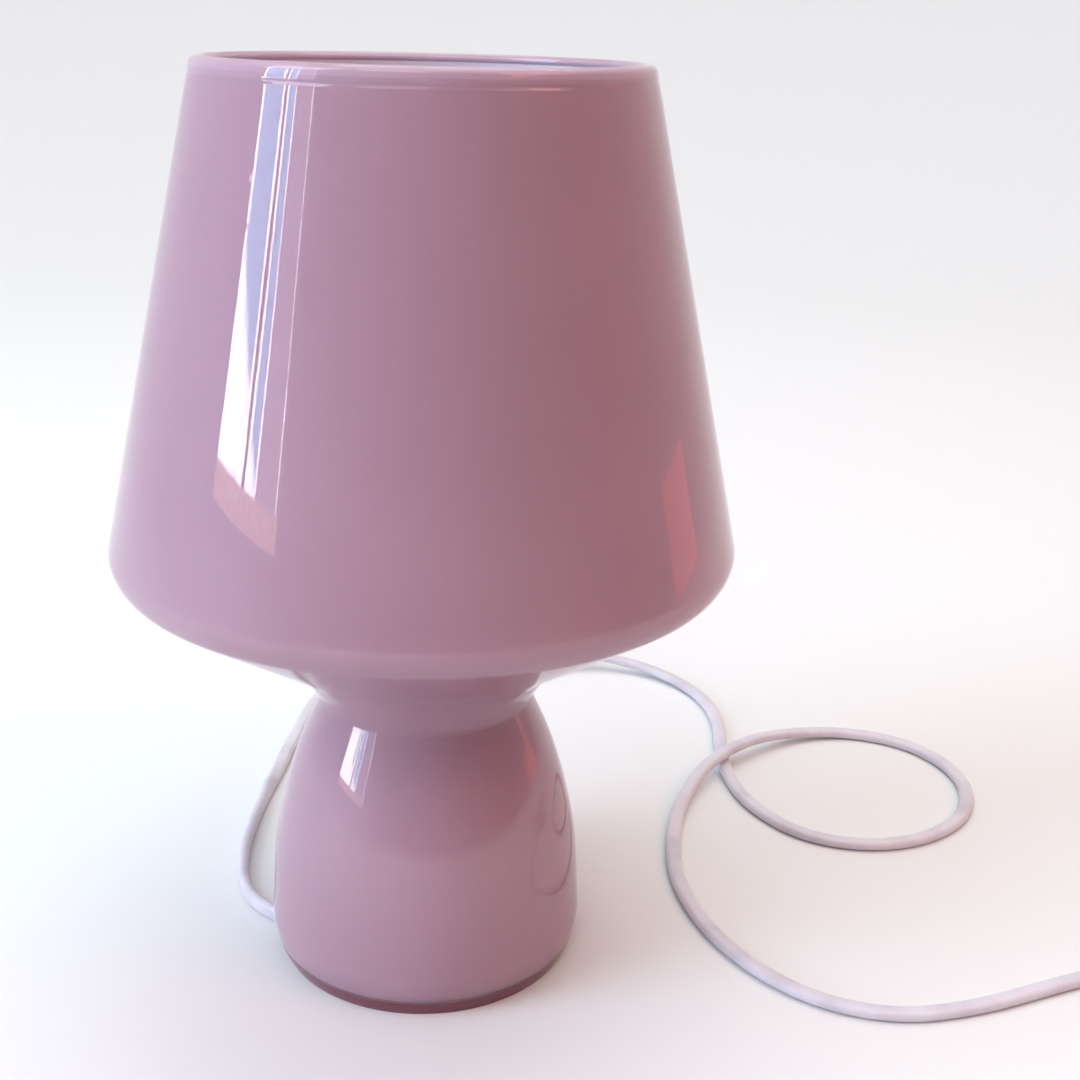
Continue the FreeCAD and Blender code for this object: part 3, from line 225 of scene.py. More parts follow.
def noise(tree: Tree, where: Socket, size_mm: float, detail: float = 2.0) -> Socket:
    """Adds noise whose features are about a real size.

    Args:
        tree: the node tree to add to.
        where: coordinates in metres.
        size_mm: size of the features.
        detail: octaves of finer noise.

    Returns:
        The noise value.
    """
    values = {"Vector": where, "Scale": 1 / (size_mm * MM), "Detail": detail}
    return add_node(tree, "ShaderNodeTexNoise", values).outputs["Fac"]


def rescale(
    tree: Tree,
    value: Socket,
    source: Sequence[float] = (0.0, 1.0),
    target: Sequence[float] = (0.0, 1.0),
) -> Socket:
    """Turns one range of values into another and holds it at both ends.

    Args:
        tree: the node tree to add to.
        value: what is turned.
        source: the two values that count as the ends.
        target: what the ends become.

    Returns:
        The new value.
    """
    values = {"Value": value, "From Min": source[0], "From Max": source[1]}
    values |= {"To Min": target[0], "To Max": target[1]}
    return add_node(tree, "ShaderNodeMapRange", values).outputs["Result"]


def calculate(tree: Tree, operation: str, *values: Socket | float) -> Socket:
    """Adds one step of arithmetic and gives its result."""
    step = add_node(tree, "ShaderNodeMath", dict(enumerate(values)), {"operation": operation})
    return step.outputs[0]


def bump(tree: Tree, shader: Node, height: Socket, depth_mm: float) -> None:
    """Feeds a height to the shader's normal, as deep as given."""
    values = {"Height": height, "Strength": 1.0, "Distance": depth_mm * MM}
    node = add_node(tree, "ShaderNodeBump", values)
    tree.links.new(node.outputs["Normal"], shader.inputs["Normal"])


@dataclass(frozen=True)
class BlownCasing(Finish):
    """Rose soda glass gathered over the opal and blown in a turning mould.

    Its skin is fire polished, so it mirrors windows sharply. Slow waves and fine drawn lines from
    the blowing bend their edges. Old dust and wear dull it in speckles, and a few seeds lie in it.
    The tint is pale on the walls and dark wine in the foot, below the opal.
    """

    tint: str = "#faeaf1"
    absorption: str = "#d96f9c"
    absorption_per_m: float = 130.0
    clear: float = 0.88
    wine: str = "#a8566f"
    foot_clear: float = 0.6
    band_mm: tuple[float, float] = (4.6, 5.4)
    wave_mm: float = 38.0
    wave_squeeze: float = 0.35
    wave_depth_mm: float = 0.055
    line_mm: float = 7.0
    line_squeeze: float = 0.06
    line_depth_mm: float = 0.004
    seed_mm: float = 26.0
    seed_reach: float = 0.045
    seed_share: float = 0.5
    patch_mm: float = 45.0
    speck_mm: float = 0.9
    dusty: tuple[float, float] = (0.45, 0.49)
    roughness: tuple[float, float] = (0.02, 0.05)

    def paint(self, tree: Tree, shader: Node, where: Socket) -> None:
        """Sets up tinted, transmitting glass with waves, seeds and dust in its skin."""
        set_shader(shader, {"IOR": 1.5})
        height = add_node(tree, "ShaderNodeSeparateXYZ", {"Vector": where}).outputs["Z"]
        walls = rescale(tree, height, [level * MM for level in self.band_mm])
        colour = mix_colours(tree, walls, linear(self.wine), linear(self.tint))
        tree.links.new(colour, shader.inputs["Base Color"])
        clear = rescale(tree, walls, target=(self.foot_clear, self.clear))
        tree.links.new(clear, shader.inputs["Transmission Weight"])
        tree.links.new(self.dust(tree, where), shader.inputs["Roughness"])
        along = {"Vector": where, "Scale": (1.0, 1.0, self.wave_squeeze)}
        drawn = {"Vector": where, "Scale": (1.0, 1.0, self.line_squeeze)}
        along_at = add_node(tree, "ShaderNodeMapping", along).outputs["Vector"]
        drawn_at = add_node(tree, "ShaderNodeMapping", drawn).outputs["Vector"]
        wave = noise(tree, along_at, self.wave_mm, 1.0)
        line = noise(tree, drawn_at, self.line_mm, 2.0)
        share = self.line_depth_mm / self.wave_depth_mm
        height = calculate(tree, "MULTIPLY_ADD", line, share, wave)
        height = calculate(tree, "MULTIPLY_ADD", self.seeds(tree, where), self.seed_share, height)
        bump(tree, shader, height, self.wave_depth_mm)
        soak = {"Color": linear(self.absorption), "Density": self.absorption_per_m}
        volume = add_node(tree, "ShaderNodeVolumeAbsorption", soak)
        tree.links.new(volume.outputs["Volume"], tree.nodes["Material Output"].inputs["Volume"])

    def seeds(self, tree: Tree, where: Socket) -> Socket:
        """Gives small bumps over scattered air seeds."""
        scale = {"Vector": where, "Scale": 1 / (self.seed_mm * MM)}
        cells = add_node(tree, "ShaderNodeTexVoronoi", scale)
        return rescale(tree, cells.outputs["Distance"], (0.0, self.seed_reach), (1.0, 0.0))

    def dust(self, tree: Tree, where: Socket) -> Socket:
        """Gives the roughness: polished, with dull specks where dust has settled."""
        patch = noise(tree, where, self.patch_mm)
        both = calculate(tree, "MULTIPLY", patch, noise(tree, where, self.speck_mm))
        return rescale(tree, both, self.dusty, self.roughness)


@dataclass(frozen=True)
class OpalLayer(Finish):
    """Opal glass, gathered first and cased in rose glass.

    It is milky, so it is painted as a soft, even, pale surface whose colour drifts slowly.
    """

    colour: str = "#ebe5ef"
    deep: str = "#e4dae7"
    gloss: float = 0.5

    def paint(self, tree: Tree, shader: Node, where: Socket) -> None:
        """Sets up milky glass whose colour drifts slowly."""
        drift = noise(tree, where, 60.0, 1.5)
        colour = add_ramp(tree, drift, [(0.35, linear(self.colour)), (0.65, linear(self.deep))])
        tree.links.new(colour, shader.inputs["Base Color"])
        set_shader(shader, {"Roughness": 0.22, "IOR": 1.5, "Specular IOR Level": self.gloss})


@dataclass(frozen=True)
class MouldedPlastic(Finish):
    """Urea or ABS plastic from a polished mould: even colour, soft gloss, faint flow marks."""

    colour: str = "#e9e8e4"
    roughness: float = 0.32

    def paint(self, tree: Tree, shader: Node, where: Socket) -> None:
        """Sets up plastic with a faint mottle in its gloss."""
        ends = (self.roughness - 0.05, self.roughness + 0.07)
        gloss = rescale(tree, noise(tree, where, 6.0, 3.0), target=ends)
        tree.links.new(gloss, shader.inputs["Roughness"])
        set_shader(shader, {"Base Color": linear(self.colour), "IOR": 1.5})
        bump(tree, shader, noise(tree, where, 0.6, 2.0), 0.006)


@dataclass(frozen=True)
class SoftVinyl(Finish):
    """Extruded PVC sheath of a lamp cord: satin, finely grained and a little grubby."""

    colour: str = "#d3cfd6"
    soiled: str = "#bdb7c0"

    def paint(self, tree: Tree, shader: Node, where: Socket) -> None:
        """Sets up satin vinyl with faint soiling."""
        grime = noise(tree, where, 14.0, 4.0)
        colour = add_ramp(tree, grime, [(0.42, linear(self.colour)), (0.78, linear(self.soiled))])
        tree.links.new(colour, shader.inputs["Base Color"])
        set_shader(shader, {"Roughness": 0.38, "IOR": 1.52})
        bump(tree, shader, noise(tree, where, 0.8, 2.0), 0.01)


@dataclass(frozen=True)
class SheetMetal(Finish):
    """Turned, pressed or plated metal: fine tool marks spread its reflections a little."""

    colour: str = "#c9c8c3"
    roughness: float = 0.3
    mark_mm: float = 1.2

    def paint(self, tree: Tree, shader: Node, where: Socket) -> None:
        """Sets up metal with marks in its gloss."""
        marks = noise(tree, where, self.mark_mm, 3.0)
        gloss = rescale(tree, marks, target=(self.roughness - 0.08, self.roughness + 0.1))
        tree.links.new(gloss, shader.inputs["Roughness"])
        set_shader(shader, {"Base Color": linear(self.colour), "Metallic": 1.0})
        bump(tree, shader, marks, 0.01)


@dataclass(frozen=True)
class PearlBulb(Finish):
    """Bulb glass coated white inside: smooth and glossy outside, milky under it."""

    colour: str = "#f4f1ea"
    shaded: str = "#e9e5dc"

    def paint(self, tree: Tree, shader: Node, where: Socket) -> None:
        """Sets up milky white glass."""
        cloud = noise(tree, where, 9.0, 3.0)
        colour = add_ramp(tree, cloud, [(0.3, linear(self.colour)), (0.8, linear(self.shaded))])
        tree.links.new(colour, shader.inputs["Base Color"])
        gloss = {"Roughness": 0.18, "IOR": 1.5, "Coat Weight": 0.3, "Coat Roughness": 0.05}
        set_shader(shader, gloss)


@dataclass(frozen=True)
class StudioPaper(Finish):
    """Matt floor and wall of the studio.

    Near the lamp and behind it they are plain pale paper. Out of the picture the paper is painted
    with a room's light and shade, because the glass mirrors all of it: cool daylight at one side,
    going over dim shade to warm light at the other.

    Attributes:
        pale: the paper.
        cool: painted daylight of the room at its cool side.
        dim: painted shade of the room between them.
        warm: painted warm light of the room at its warm side.
        turns: where each tone stands, in shares of a full turn.
        near: where the paper starts to turn into the room, in metres from the lamp.
        far: where it has done so.
    """

    pale: str = "#e0e2e1"
    cool: str = "#c8c0d0"
    dim: str = "#806868"
    warm: str = "#705050"
    turns: tuple[float, ...] = (0.1, 0.25, 0.5, 0.7, 0.88)
    near: float = 0.55
    far: float = 1.0

    def paint(self, tree: Tree, shader: Node, where: Socket) -> None:
        """Sets up paper that turns into a room's painted light and shade out of the picture."""
        turned = {"Vector": where, "Rotation": (0.0, 0.0, math.pi / 2)}
        turn = add_node(tree, "ShaderNodeMapping", turned).outputs["Vector"]
        radial = {"gradient_type": "RADIAL"}
        angle = add_node(tree, "ShaderNodeTexGradient", {"Vector": turn}, radial).outputs["Fac"]
        # The room's tones are painted light and shade: cool daylight, dim shade and warm light.
        tones = (self.pale, self.cool, self.dim, self.warm, self.pale)
        stops = zip(self.turns, (linear(tone) for tone in tones))
        room = add_ramp(tree, angle, list(stops))
        flat = {0: where, 1: (1.0, 1.0, 0.0)}
        level = add_node(tree, "ShaderNodeVectorMath", flat, {"operation": "MULTIPLY"})
        line = {0: level.outputs["Vector"]}
        reach = add_node(tree, "ShaderNodeVectorMath", line, {"operation": "LENGTH"})
        limits = {"Value": reach.outputs["Value"], "From Min": self.near, "From Max": self.far}
        outside = add_node(tree, "ShaderNodeMapRange", limits, {"interpolation_type": "SMOOTHSTEP"})
        colour = mix_colours(tree, outside.outputs["Result"], linear(self.pale), room)
        tree.links.new(colour, shader.inputs["Base Color"])
        set_shader(shader, {"Roughness": 0.85, "IOR": 1.4})


@dataclass(frozen=True)
class WindowView(Finish):
    """Daylight seen through a tall window with two panes, for the glass to mirror.

    Its UV runs from 0 to 1 across and upwards. White sky light shows low in both panes and at
    their edges, a lavender blind hangs in the upper part, and a warm sill closes them below.
    """

    sky: Colour = (17.0, 17.4, 18.5, 1.0)
    blind: Colour = (1.4, 5.0, 8.2, 1.0)
    curtain: Colour = (2.2, 2.0, 2.8, 1.0)
    sill: Colour = (4.2, 2.9, 2.5, 1.0)
    frame_tint: Colour = (0.35, 0.25, 0.3, 1.0)
    hem_slope: float = 0.55
    hem: tuple[float, float] = (0.40, 0.46)
    sill_top: tuple[float, float] = (0.06, 0.07)

    def paint(self, tree: Tree, shader: Node, where: Socket) -> None:
        """Sets up a glowing picture of the window."""
        uv = add_node(tree, "ShaderNodeTexCoord").outputs["UV"]
        axes = add_node(tree, "ShaderNodeSeparateXYZ", {"Vector": uv})
        across, up = axes.outputs["X"], axes.outputs["Y"]
        panes = add_ramp(
            tree,
            across,
            [
                (0.0, self.sky),
                (0.44, self.frame_tint),
                (0.49, self.sky),
                (0.66, self.curtain),
                (0.955, self.sky),
                (0.965, self.frame_tint),
                (0.985, self.curtain),
            ],
            "CONSTANT",
        )
        bare, hung = (0, 0, 0, 1), (1, 1, 1, 1)
        widths = [(0.0, bare), (0.04, hung), (0.40, bare), (0.52, hung), (0.64, bare)]
        blinds = add_ramp(tree, across, widths, "CONSTANT")
        hem = calculate(tree, "MULTIPLY_ADD", across, self.hem_slope, up)
        masked = calculate(tree, "MULTIPLY", blinds, rescale(tree, hem, self.hem))
        view = mix_colours(tree, masked, panes, self.blind)
        # The picture counts as 1 m across for the size of this noise.
        mottle = rescale(tree, noise(tree, uv, 28.0, 4.0), (0.3, 0.62), (0.55, 1.1))
        view = mix_colours(tree, rescale(tree, up, self.sill_top), self.sill, view)
        glow = add_node(tree, "ShaderNodeEmission", {"Color": view, "Strength": mottle})
        tree.links.new(glow.outputs["Emission"], tree.nodes["Material Output"].inputs["Surface"])


CASING = BlownCasing("rose_blown_glass")
OPAL_BONDED = OpalLayer("opal_under_casing", gloss=0.0)
OPAL_INSIDE = OpalLayer("opal_inside", gloss=0.5)
SWITCH_PLASTIC = MouldedPlastic("switch_abs")
HOLDER_PLASTIC = MouldedPlastic("lampholder_urea", colour="#dedbd2", roughness=0.26)
PLUG_PLASTIC = MouldedPlastic("plug_vinyl", colour="#e2e0e2", roughness=0.4)
CORD_VINYL = SoftVinyl("cord_vinyl")
ZINC = SheetMetal("zinc_plate")
BRASS = SheetMetal("drawn_brass", colour="#d9b878", roughness=0.25)
NICKEL = SheetMetal("nickel_plate", colour="#cfccc4", roughness=0.22, mark_mm=2.0)
SOLDER = SheetMetal("solder", colour="#a9abae", roughness=0.45, mark_mm=0.8)
PEARL = PearlBulb("pearl_bulb_glass")
SWEEP = StudioPaper("studio_paper")
WINDOW = WindowView("window_view")


# ---------------------------------------------------------------- meshes


@dataclass(frozen=True)
class Corner:
    """One corner of a half section, in millimetres, with the radius that rounds it."""

    radius: float
    height: float
    rounding: float = 0.0

    def place(self) -> Vector:
        """Gives the corner as a flat vector, radius then height."""
        return Vector((self.radius, self.height))


def trace(bm: Mesh, corners: Sequence[Corner], segments: int = 8) -> None:
    """Draws a line of corners in the XZ plane and rounds them.

    Args:
        bm: the mesh to draw in.
        corners: the corners in order.
        segments: edges in each rounded corner.
    """
    verts = [bm.verts.new((c.radius * MM, 0, c.height * MM)) for c in corners]
    for first, second in zip(verts, verts[1:]):
        bm.edges.new((first, second))
    for index in range(1, len(corners) - 1):
        corner = corners[index]
        if corner.rounding <= 0:
            continue
        before = corner.place() - corners[index - 1].place()
        after = corners[index + 1].place() - corner.place()
        turn = before.angle(after)
        bmesh.ops.bevel(
            bm,
            geom=[verts[index]],
            offset=corner.rounding * MM * math.tan(turn / 2),
            offset_type="OFFSET",
            segments=segments,
            profile=0.5,
            affect="VERTICES",
            material=-1,
            clamp_overlap=False,
        )


def cut_line(bm: Mesh, old: set, height_mm: float, keep_above: bool) -> None:
    """Cuts the newest line of a section at a height.

    Args:
        bm: the section.
        old: vertices and edges that are left alone.
        height_mm: where to cut.
        keep_above: keeps the part above the cut if true, or else the part below.
    """
    geom = [item for item in (*bm.verts, *bm.edges) if item not in old]
    bmesh.ops.bisect_plane(
        bm,
        geom=geom,
        dist=1e-7,
        plane_co=(0, 0, height_mm * MM),
        plane_no=(0, 0, 1),
        clear_inner=keep_above,
        clear_outer=not keep_above,
    )


def close_gaps(bm: Mesh) -> None:
    """Merges ends that meet and joins the ends that are left, nearest first."""
    bmesh.ops.remove_doubles(bm, verts=bm.verts[:], dist=1e-6)
    ends = [v for v in bm.verts if len(v.link_edges) == 1]
    while len(ends) > 1:
        first = ends.pop()
        second = min(ends, key=lambda v: (v.co - first.co).length)
        ends.remove(second)
        bm.edges.new((first, second))


def turn_section(bm: Mesh, steps: int) -> None:
    """Spins a section a full turn about Z and points its faces outwards."""
    bmesh.ops.spin(
        bm,
        geom=bm.verts[:] + bm.edges[:],
        cent=(0, 0, 0),
        axis=(0, 0, 1),
        dvec=(0, 0, 0),
        angle=FULL_TURN,
        steps=steps,
        use_merge=True,
        use_duplicate=False,
    )
    bmesh.ops.remove_doubles(bm, verts=bm.verts[:], dist=1e-7)
    bmesh.ops.recalc_face_normals(bm, faces=bm.faces[:])


def solid_turning(corners: Sequence[Corner], steps: int = 64, segments: int = 6) -> Mesh:
    """Turns a closed solid from a line that starts and ends on the axis.

    Args:
        corners: the line, from axis to axis.
        steps: faces round the turn.
        segments: edges in each rounded corner.

    Returns:
        The mesh.
    """
    bm = bmesh.new()
    trace(bm, corners, segments)
    turn_section(bm, steps)
    return bm


def object_from(name: str, bm: Mesh) -> bpy.types.Object:
    """Puts an object in the scene made from a mesh, which is freed."""
    mesh = bpy.data.meshes.new(name)
    bm.to_mesh(mesh)
    bm.free()
    piece = bpy.data.objects.new(name, mesh)
    bpy.context.scene.collection.objects.link(piece)
    return piece


def finish_piece(
    name: str,
    bm: Mesh,
    finishes: Sequence[Finish],
    body: BodyName,
    replaced: Sequence[str] = (),
    sharp_deg: float = 35.0,
) -> bpy.types.Object:
    """Makes an object of a mesh, dresses it and puts it on its body.

    Args:
        name: the piece's name.
        bm: its mesh, freed here.
        finishes: one for each material index.
        body: the body it rides on.
        replaced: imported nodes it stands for.
        sharp_deg: edges that turn more than this stay sharp.

    Returns:
        The new object.
    """
    piece = object_from(name, bm)
    mesh = piece.data
    mesh.shade_smooth()
    mesh.set_sharp_from_angle(angle=math.radians(sharp_deg))
    for finish in finishes:
        mesh.materials.append(finish.material())
    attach(piece, body.value)
    if replaced:
        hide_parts(*replaced)
    LOG.info("%s: %d faces on %s", name, len(mesh.polygons), body.value)
    return piece


def dress_node(name: str, finish: Finish) -> None:
    """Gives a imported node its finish."""
    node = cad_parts[name]
    for holder in node.material_slots:
        holder.material = finish.material()
    LOG.info("%s: dressed in %s", name, finish.name)


# ---------------------------------------------------------------- glass


@dataclass
class GlassBody:
    """Shade, neck and base, blown in one: a rose casing over an opal lining.

    Attributes:
        outline: corners of the outside, from the foot to the rim.
        casing_mm: thickness of the casing.
        wall_mm: thickness of both layers.
        opal_mm: height at which the opal layer stops over the foot.
        bond_mm: how far the opal sits in the casing, so that no air shows between.
        lip_mm: height at which the folded lip begins.
        groove_mm: depth, height and rounding of each corner of the fine groove under the lip.
        bed_mm: height at which the lip ends on the inside.
        shoulder_mm: height at which the lining narrows into the lip.
        skin_mm: thickness of the lip outside the lining.
        cover_mm: thickness of the lip over and inside the lining.
        notch_mm: width and height of the notch for the cord, and its offset to the side.
        notch_from_mm: where the block that cuts the notch starts.
        notch_long_mm: how long that block is.
        steps: faces round the turn.
    """

    outline: tuple[Corner, ...] = (
        Corner(46.2, 0.0),
        Corner(49.4, 6.9, 24.0),
        Corner(46.2, 54.3, 125.0),
        Corner(31.8, 84.8, 1.2),
        Corner(40.2, 97.7, 16.0),
        Corner(92.2, 131.4, 9.0),
        Corner(61.6, 270.0),
    )
    casing_mm: float = 2.0
    wall_mm: float = 4.0
    opal_mm: float = 5.0
    bond_mm: float = 0.05
    lip_mm: float = 264.8
    groove_mm: tuple[Place, ...] = ((0, 264.9, 0.6), (0.26, 265.6, 0.5), (0, 266.3, 0.6))
    bed_mm: float = 267.5
    shoulder_mm: float = 267.2
    skin_mm: float = 0.9
    cover_mm: tuple[float, float] = (1.0, 0.5)
    notch_mm: tuple[float, float, float] = (13.0, 7.5, 1.5)
    notch_from_mm: float = -60.0
    notch_long_mm: float = 30.0
    steps: int = 192

    def parallel(self, depth: float) -> list[Corner]:
        """Gives the outline set into the glass.

        Args:
            depth: how far, in millimetres.

        Returns:
            The corners of the parallel line.
        """
        points = [c.place() for c in self.outline]
        heads = [(b - a).normalized() for a, b in zip(points, points[1:])]
        normals = [Vector((-h.y, h.x)) for h in heads]
        line = []
        for index, corner in enumerate(self.outline):
            if index == 0 or index == len(points) - 1:
                side = 0 if index == 0 else -1
                moved = points[index] + normals[side] * depth
                moved += heads[side] * ((points[index].y - moved.y) / heads[side].y)
                line.append(Corner(moved.x, moved.y))
                continue
            before, after = normals[index - 1], normals[index]
            middle = (before + after).normalized()
            moved = points[index] + middle * (depth / middle.dot(after))
            hollow = heads[index - 1].cross(heads[index]) < 0
            rounding = corner.rounding + (depth if hollow else -depth)
            line.append(Corner(moved.x, moved.y, rounding))
        return line

    def at_rim(self, depth: float, height: float, rounding: float = 0.0) -> Corner:
        """Gives a corner on the shade's wall at a depth and a height."""
        brim, rim = self.outline[-2], self.outline[-1]
        slope = (brim.radius - rim.radius) / (rim.height - brim.height)
        radius = rim.radius + slope * (rim.height - height) - depth * math.hypot(1, slope)
        return Corner(radius, height, rounding)

    def wall_line(self, depth: float, top: Corner) -> list[Corner]:
        """Gives a parallel line that ends at a corner near the rim."""
        return self.parallel(depth)[:-1] + [top]

    def casing_section(self) -> Mesh:
        """Draws the closed section of the casing, with its lip folded over the rim."""
        bm = bmesh.new()
        rim, wall, at = self.outline[-1].height, self.wall_mm, self.at_rim
        top, inner = rim - self.cover_mm[0], wall - self.cover_mm[1]
        start = at(self.casing_mm, self.lip_mm)
        outside = self.parallel(0.0)[:-1] + [at(*corner) for corner in self.groove_mm]
        lip = [at(0, rim, 2.0), at(wall, rim, 1.6), at(wall, self.bed_mm), at(inner, self.bed_mm)]
        under = [at(inner, top, 0.7), at(self.skin_mm, top, 0.9)]
        under += [at(self.skin_mm, self.shoulder_mm, 0.6), start]
        trace(bm, outside + lip + under)
        old = set(bm.verts) | set(bm.edges)
        trace(bm, self.wall_line(self.casing_mm, start))
        cut_line(bm, old, self.opal_mm, True)
        old = set(bm.verts) | set(bm.edges)
        trace(bm, self.wall_line(wall, at(wall, 200.0)))
        cut_line(bm, old, self.opal_mm, False)
        close_gaps(bm)
        return bm

    def lining_section(self) -> Mesh:
        """Draws the closed section of the opal lining."""
        bm = bmesh.new()
        wall, bond, at = self.wall_mm, self.bond_mm, self.at_rim
        top = self.outline[-1].height - self.cover_mm[0] + bond
        inner, skin = wall - self.cover_mm[1] + bond, self.skin_mm - bond
        inner_top = at(wall, self.bed_mm)
        outside = self.wall_line(self.casing_mm - bond, at(self.casing_mm - bond, self.lip_mm))
        edge = [at(skin, self.shoulder_mm, 0.6), at(skin, top, 0.9), at(inner, top, 0.7)]
        trace(bm, outside + edge + [at(inner, self.bed_mm), inner_top])
        trace(bm, self.wall_line(wall, inner_top))
        cut_line(bm, set(), self.opal_mm - bond, True)
        close_gaps(bm)
        return bm

    def notch_tool(self) -> bpy.types.Object:
        """Makes the arched block that cuts the notch for the cord."""
        width, height, offset = self.notch_mm
        half = width / 2
        bm = bmesh.new()
        bmesh.ops.create_circle(bm, cap_ends=True, segments=48, radius=half * MM)
        turn = Matrix.Rotation(math.pi / 2, 4, "Y")
        bmesh.ops.transform(bm, matrix=turn, verts=bm.verts[:])
        for vert in bm.verts:
            if vert.co.z < -1e-6:
                vert.co.z = -2 * half * MM
        shift = Vector((self.notch_from_mm * MM, offset * MM, (height - half) * MM))
        bmesh.ops.translate(bm, vec=shift, verts=bm.verts[:])
        grown = bmesh.ops.extrude_face_region(bm, geom=bm.faces[:])
        moved = [item for item in grown["geom"] if isinstance(item, bmesh.types.BMVert)]
        bmesh.ops.translate(bm, vec=(self.notch_long_mm * MM, 0, 0), verts=moved)
        bmesh.ops.recalc_face_normals(bm, faces=bm.faces[:])
        return object_from("notch_tool", bm)

    def cut_notch(self, bm: Mesh, tool: bpy.types.Object) -> Mesh:
        """Cuts the notch out of a layer.

        Args:
            bm: the layer, freed here.
            tool: the block to cut with.

        Returns:
            The layer with its notch.
        """
        layer = object_from("layer", bm)
        cut = layer.modifiers.new("notch", "BOOLEAN")
        cut.operation = "DIFFERENCE"
        cut.solver = "EXACT"
        cut.object = tool
        graph = bpy.context.evaluated_depsgraph_get()
        result = bmesh.new()
        result.from_object(layer, graph)
        bpy.data.objects.remove(layer)
        return result

    def build(self) -> None:
        """Makes both layers."""
        tool = self.notch_tool()
        layers = []
        for section in (self.casing_section(), self.lining_section()):
            turn_section(section, self.steps)
            layers.append(self.cut_notch(section, tool))
        casing, lining = layers
        lining.normal_update()
        for face in lining.faces:
            middle = face.calc_center_median()
            outwards = face.normal.dot(Vector((middle.x, middle.y, 0))) > 0
            face.material_index = 0 if outwards else 1
        pink, opal, body = Slot.PINK_GLASS, Slot.OPAL_GLASS, BodyName.LAMP
        both = [OPAL_BONDED, OPAL_INSIDE]
        finish_piece("casing_glass", casing, [CASING], body, ["glass_casing"], GLASS_SHARP_DEG)
        finish_piece("lining_glass", lining, both, body, ["glass_lining"], GLASS_SHARP_DEG)
        bpy.data.objects.remove(tool)


# ---------------------------------------------------------------- fittings and bulb


@dataclass(frozen=True)
class KeptPieces:
    """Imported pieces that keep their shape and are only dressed.

    Attributes:
        names: the pieces of each finish.
    """

    names: dict[Finish, tuple[str, ...]]

    def build(self) -> None:
        """Dresses every piece."""
        for finish, names in self.names.items():
            for name in names:
                dress_node(name, finish)


IN_THE_GLASS = KeptPieces(
    {
        ZINC: (
            *("seat_dish", "clamp_bar", "lock_washer", "lower_nut", "upper_nut"),
            *("threaded_tube", "grip_screw"),
        ),
        HOLDER_PLASTIC: ("cord_grip", "holder_cap", "holder_sleeve", "holder_core"),
        BRASS: ("screw_shell", "centre_contact"),
        SOLDER: ("bulb_contact",),
    }
)

ON_THE_CORD = KeptPieces(
    {
        SWITCH_PLASTIC: ("switch_lower", "switch_upper", "rocker"),
        ZINC: ("rocker_pin", "switch_screw_west", "switch_screw_east"),
        CORD_VINYL: ("coil_tie",),
        PLUG_PLASTIC: ("plug_body", "plug_relief"),
        BRASS: ("plug_pin_west", "plug_pin_east"),
    }
)


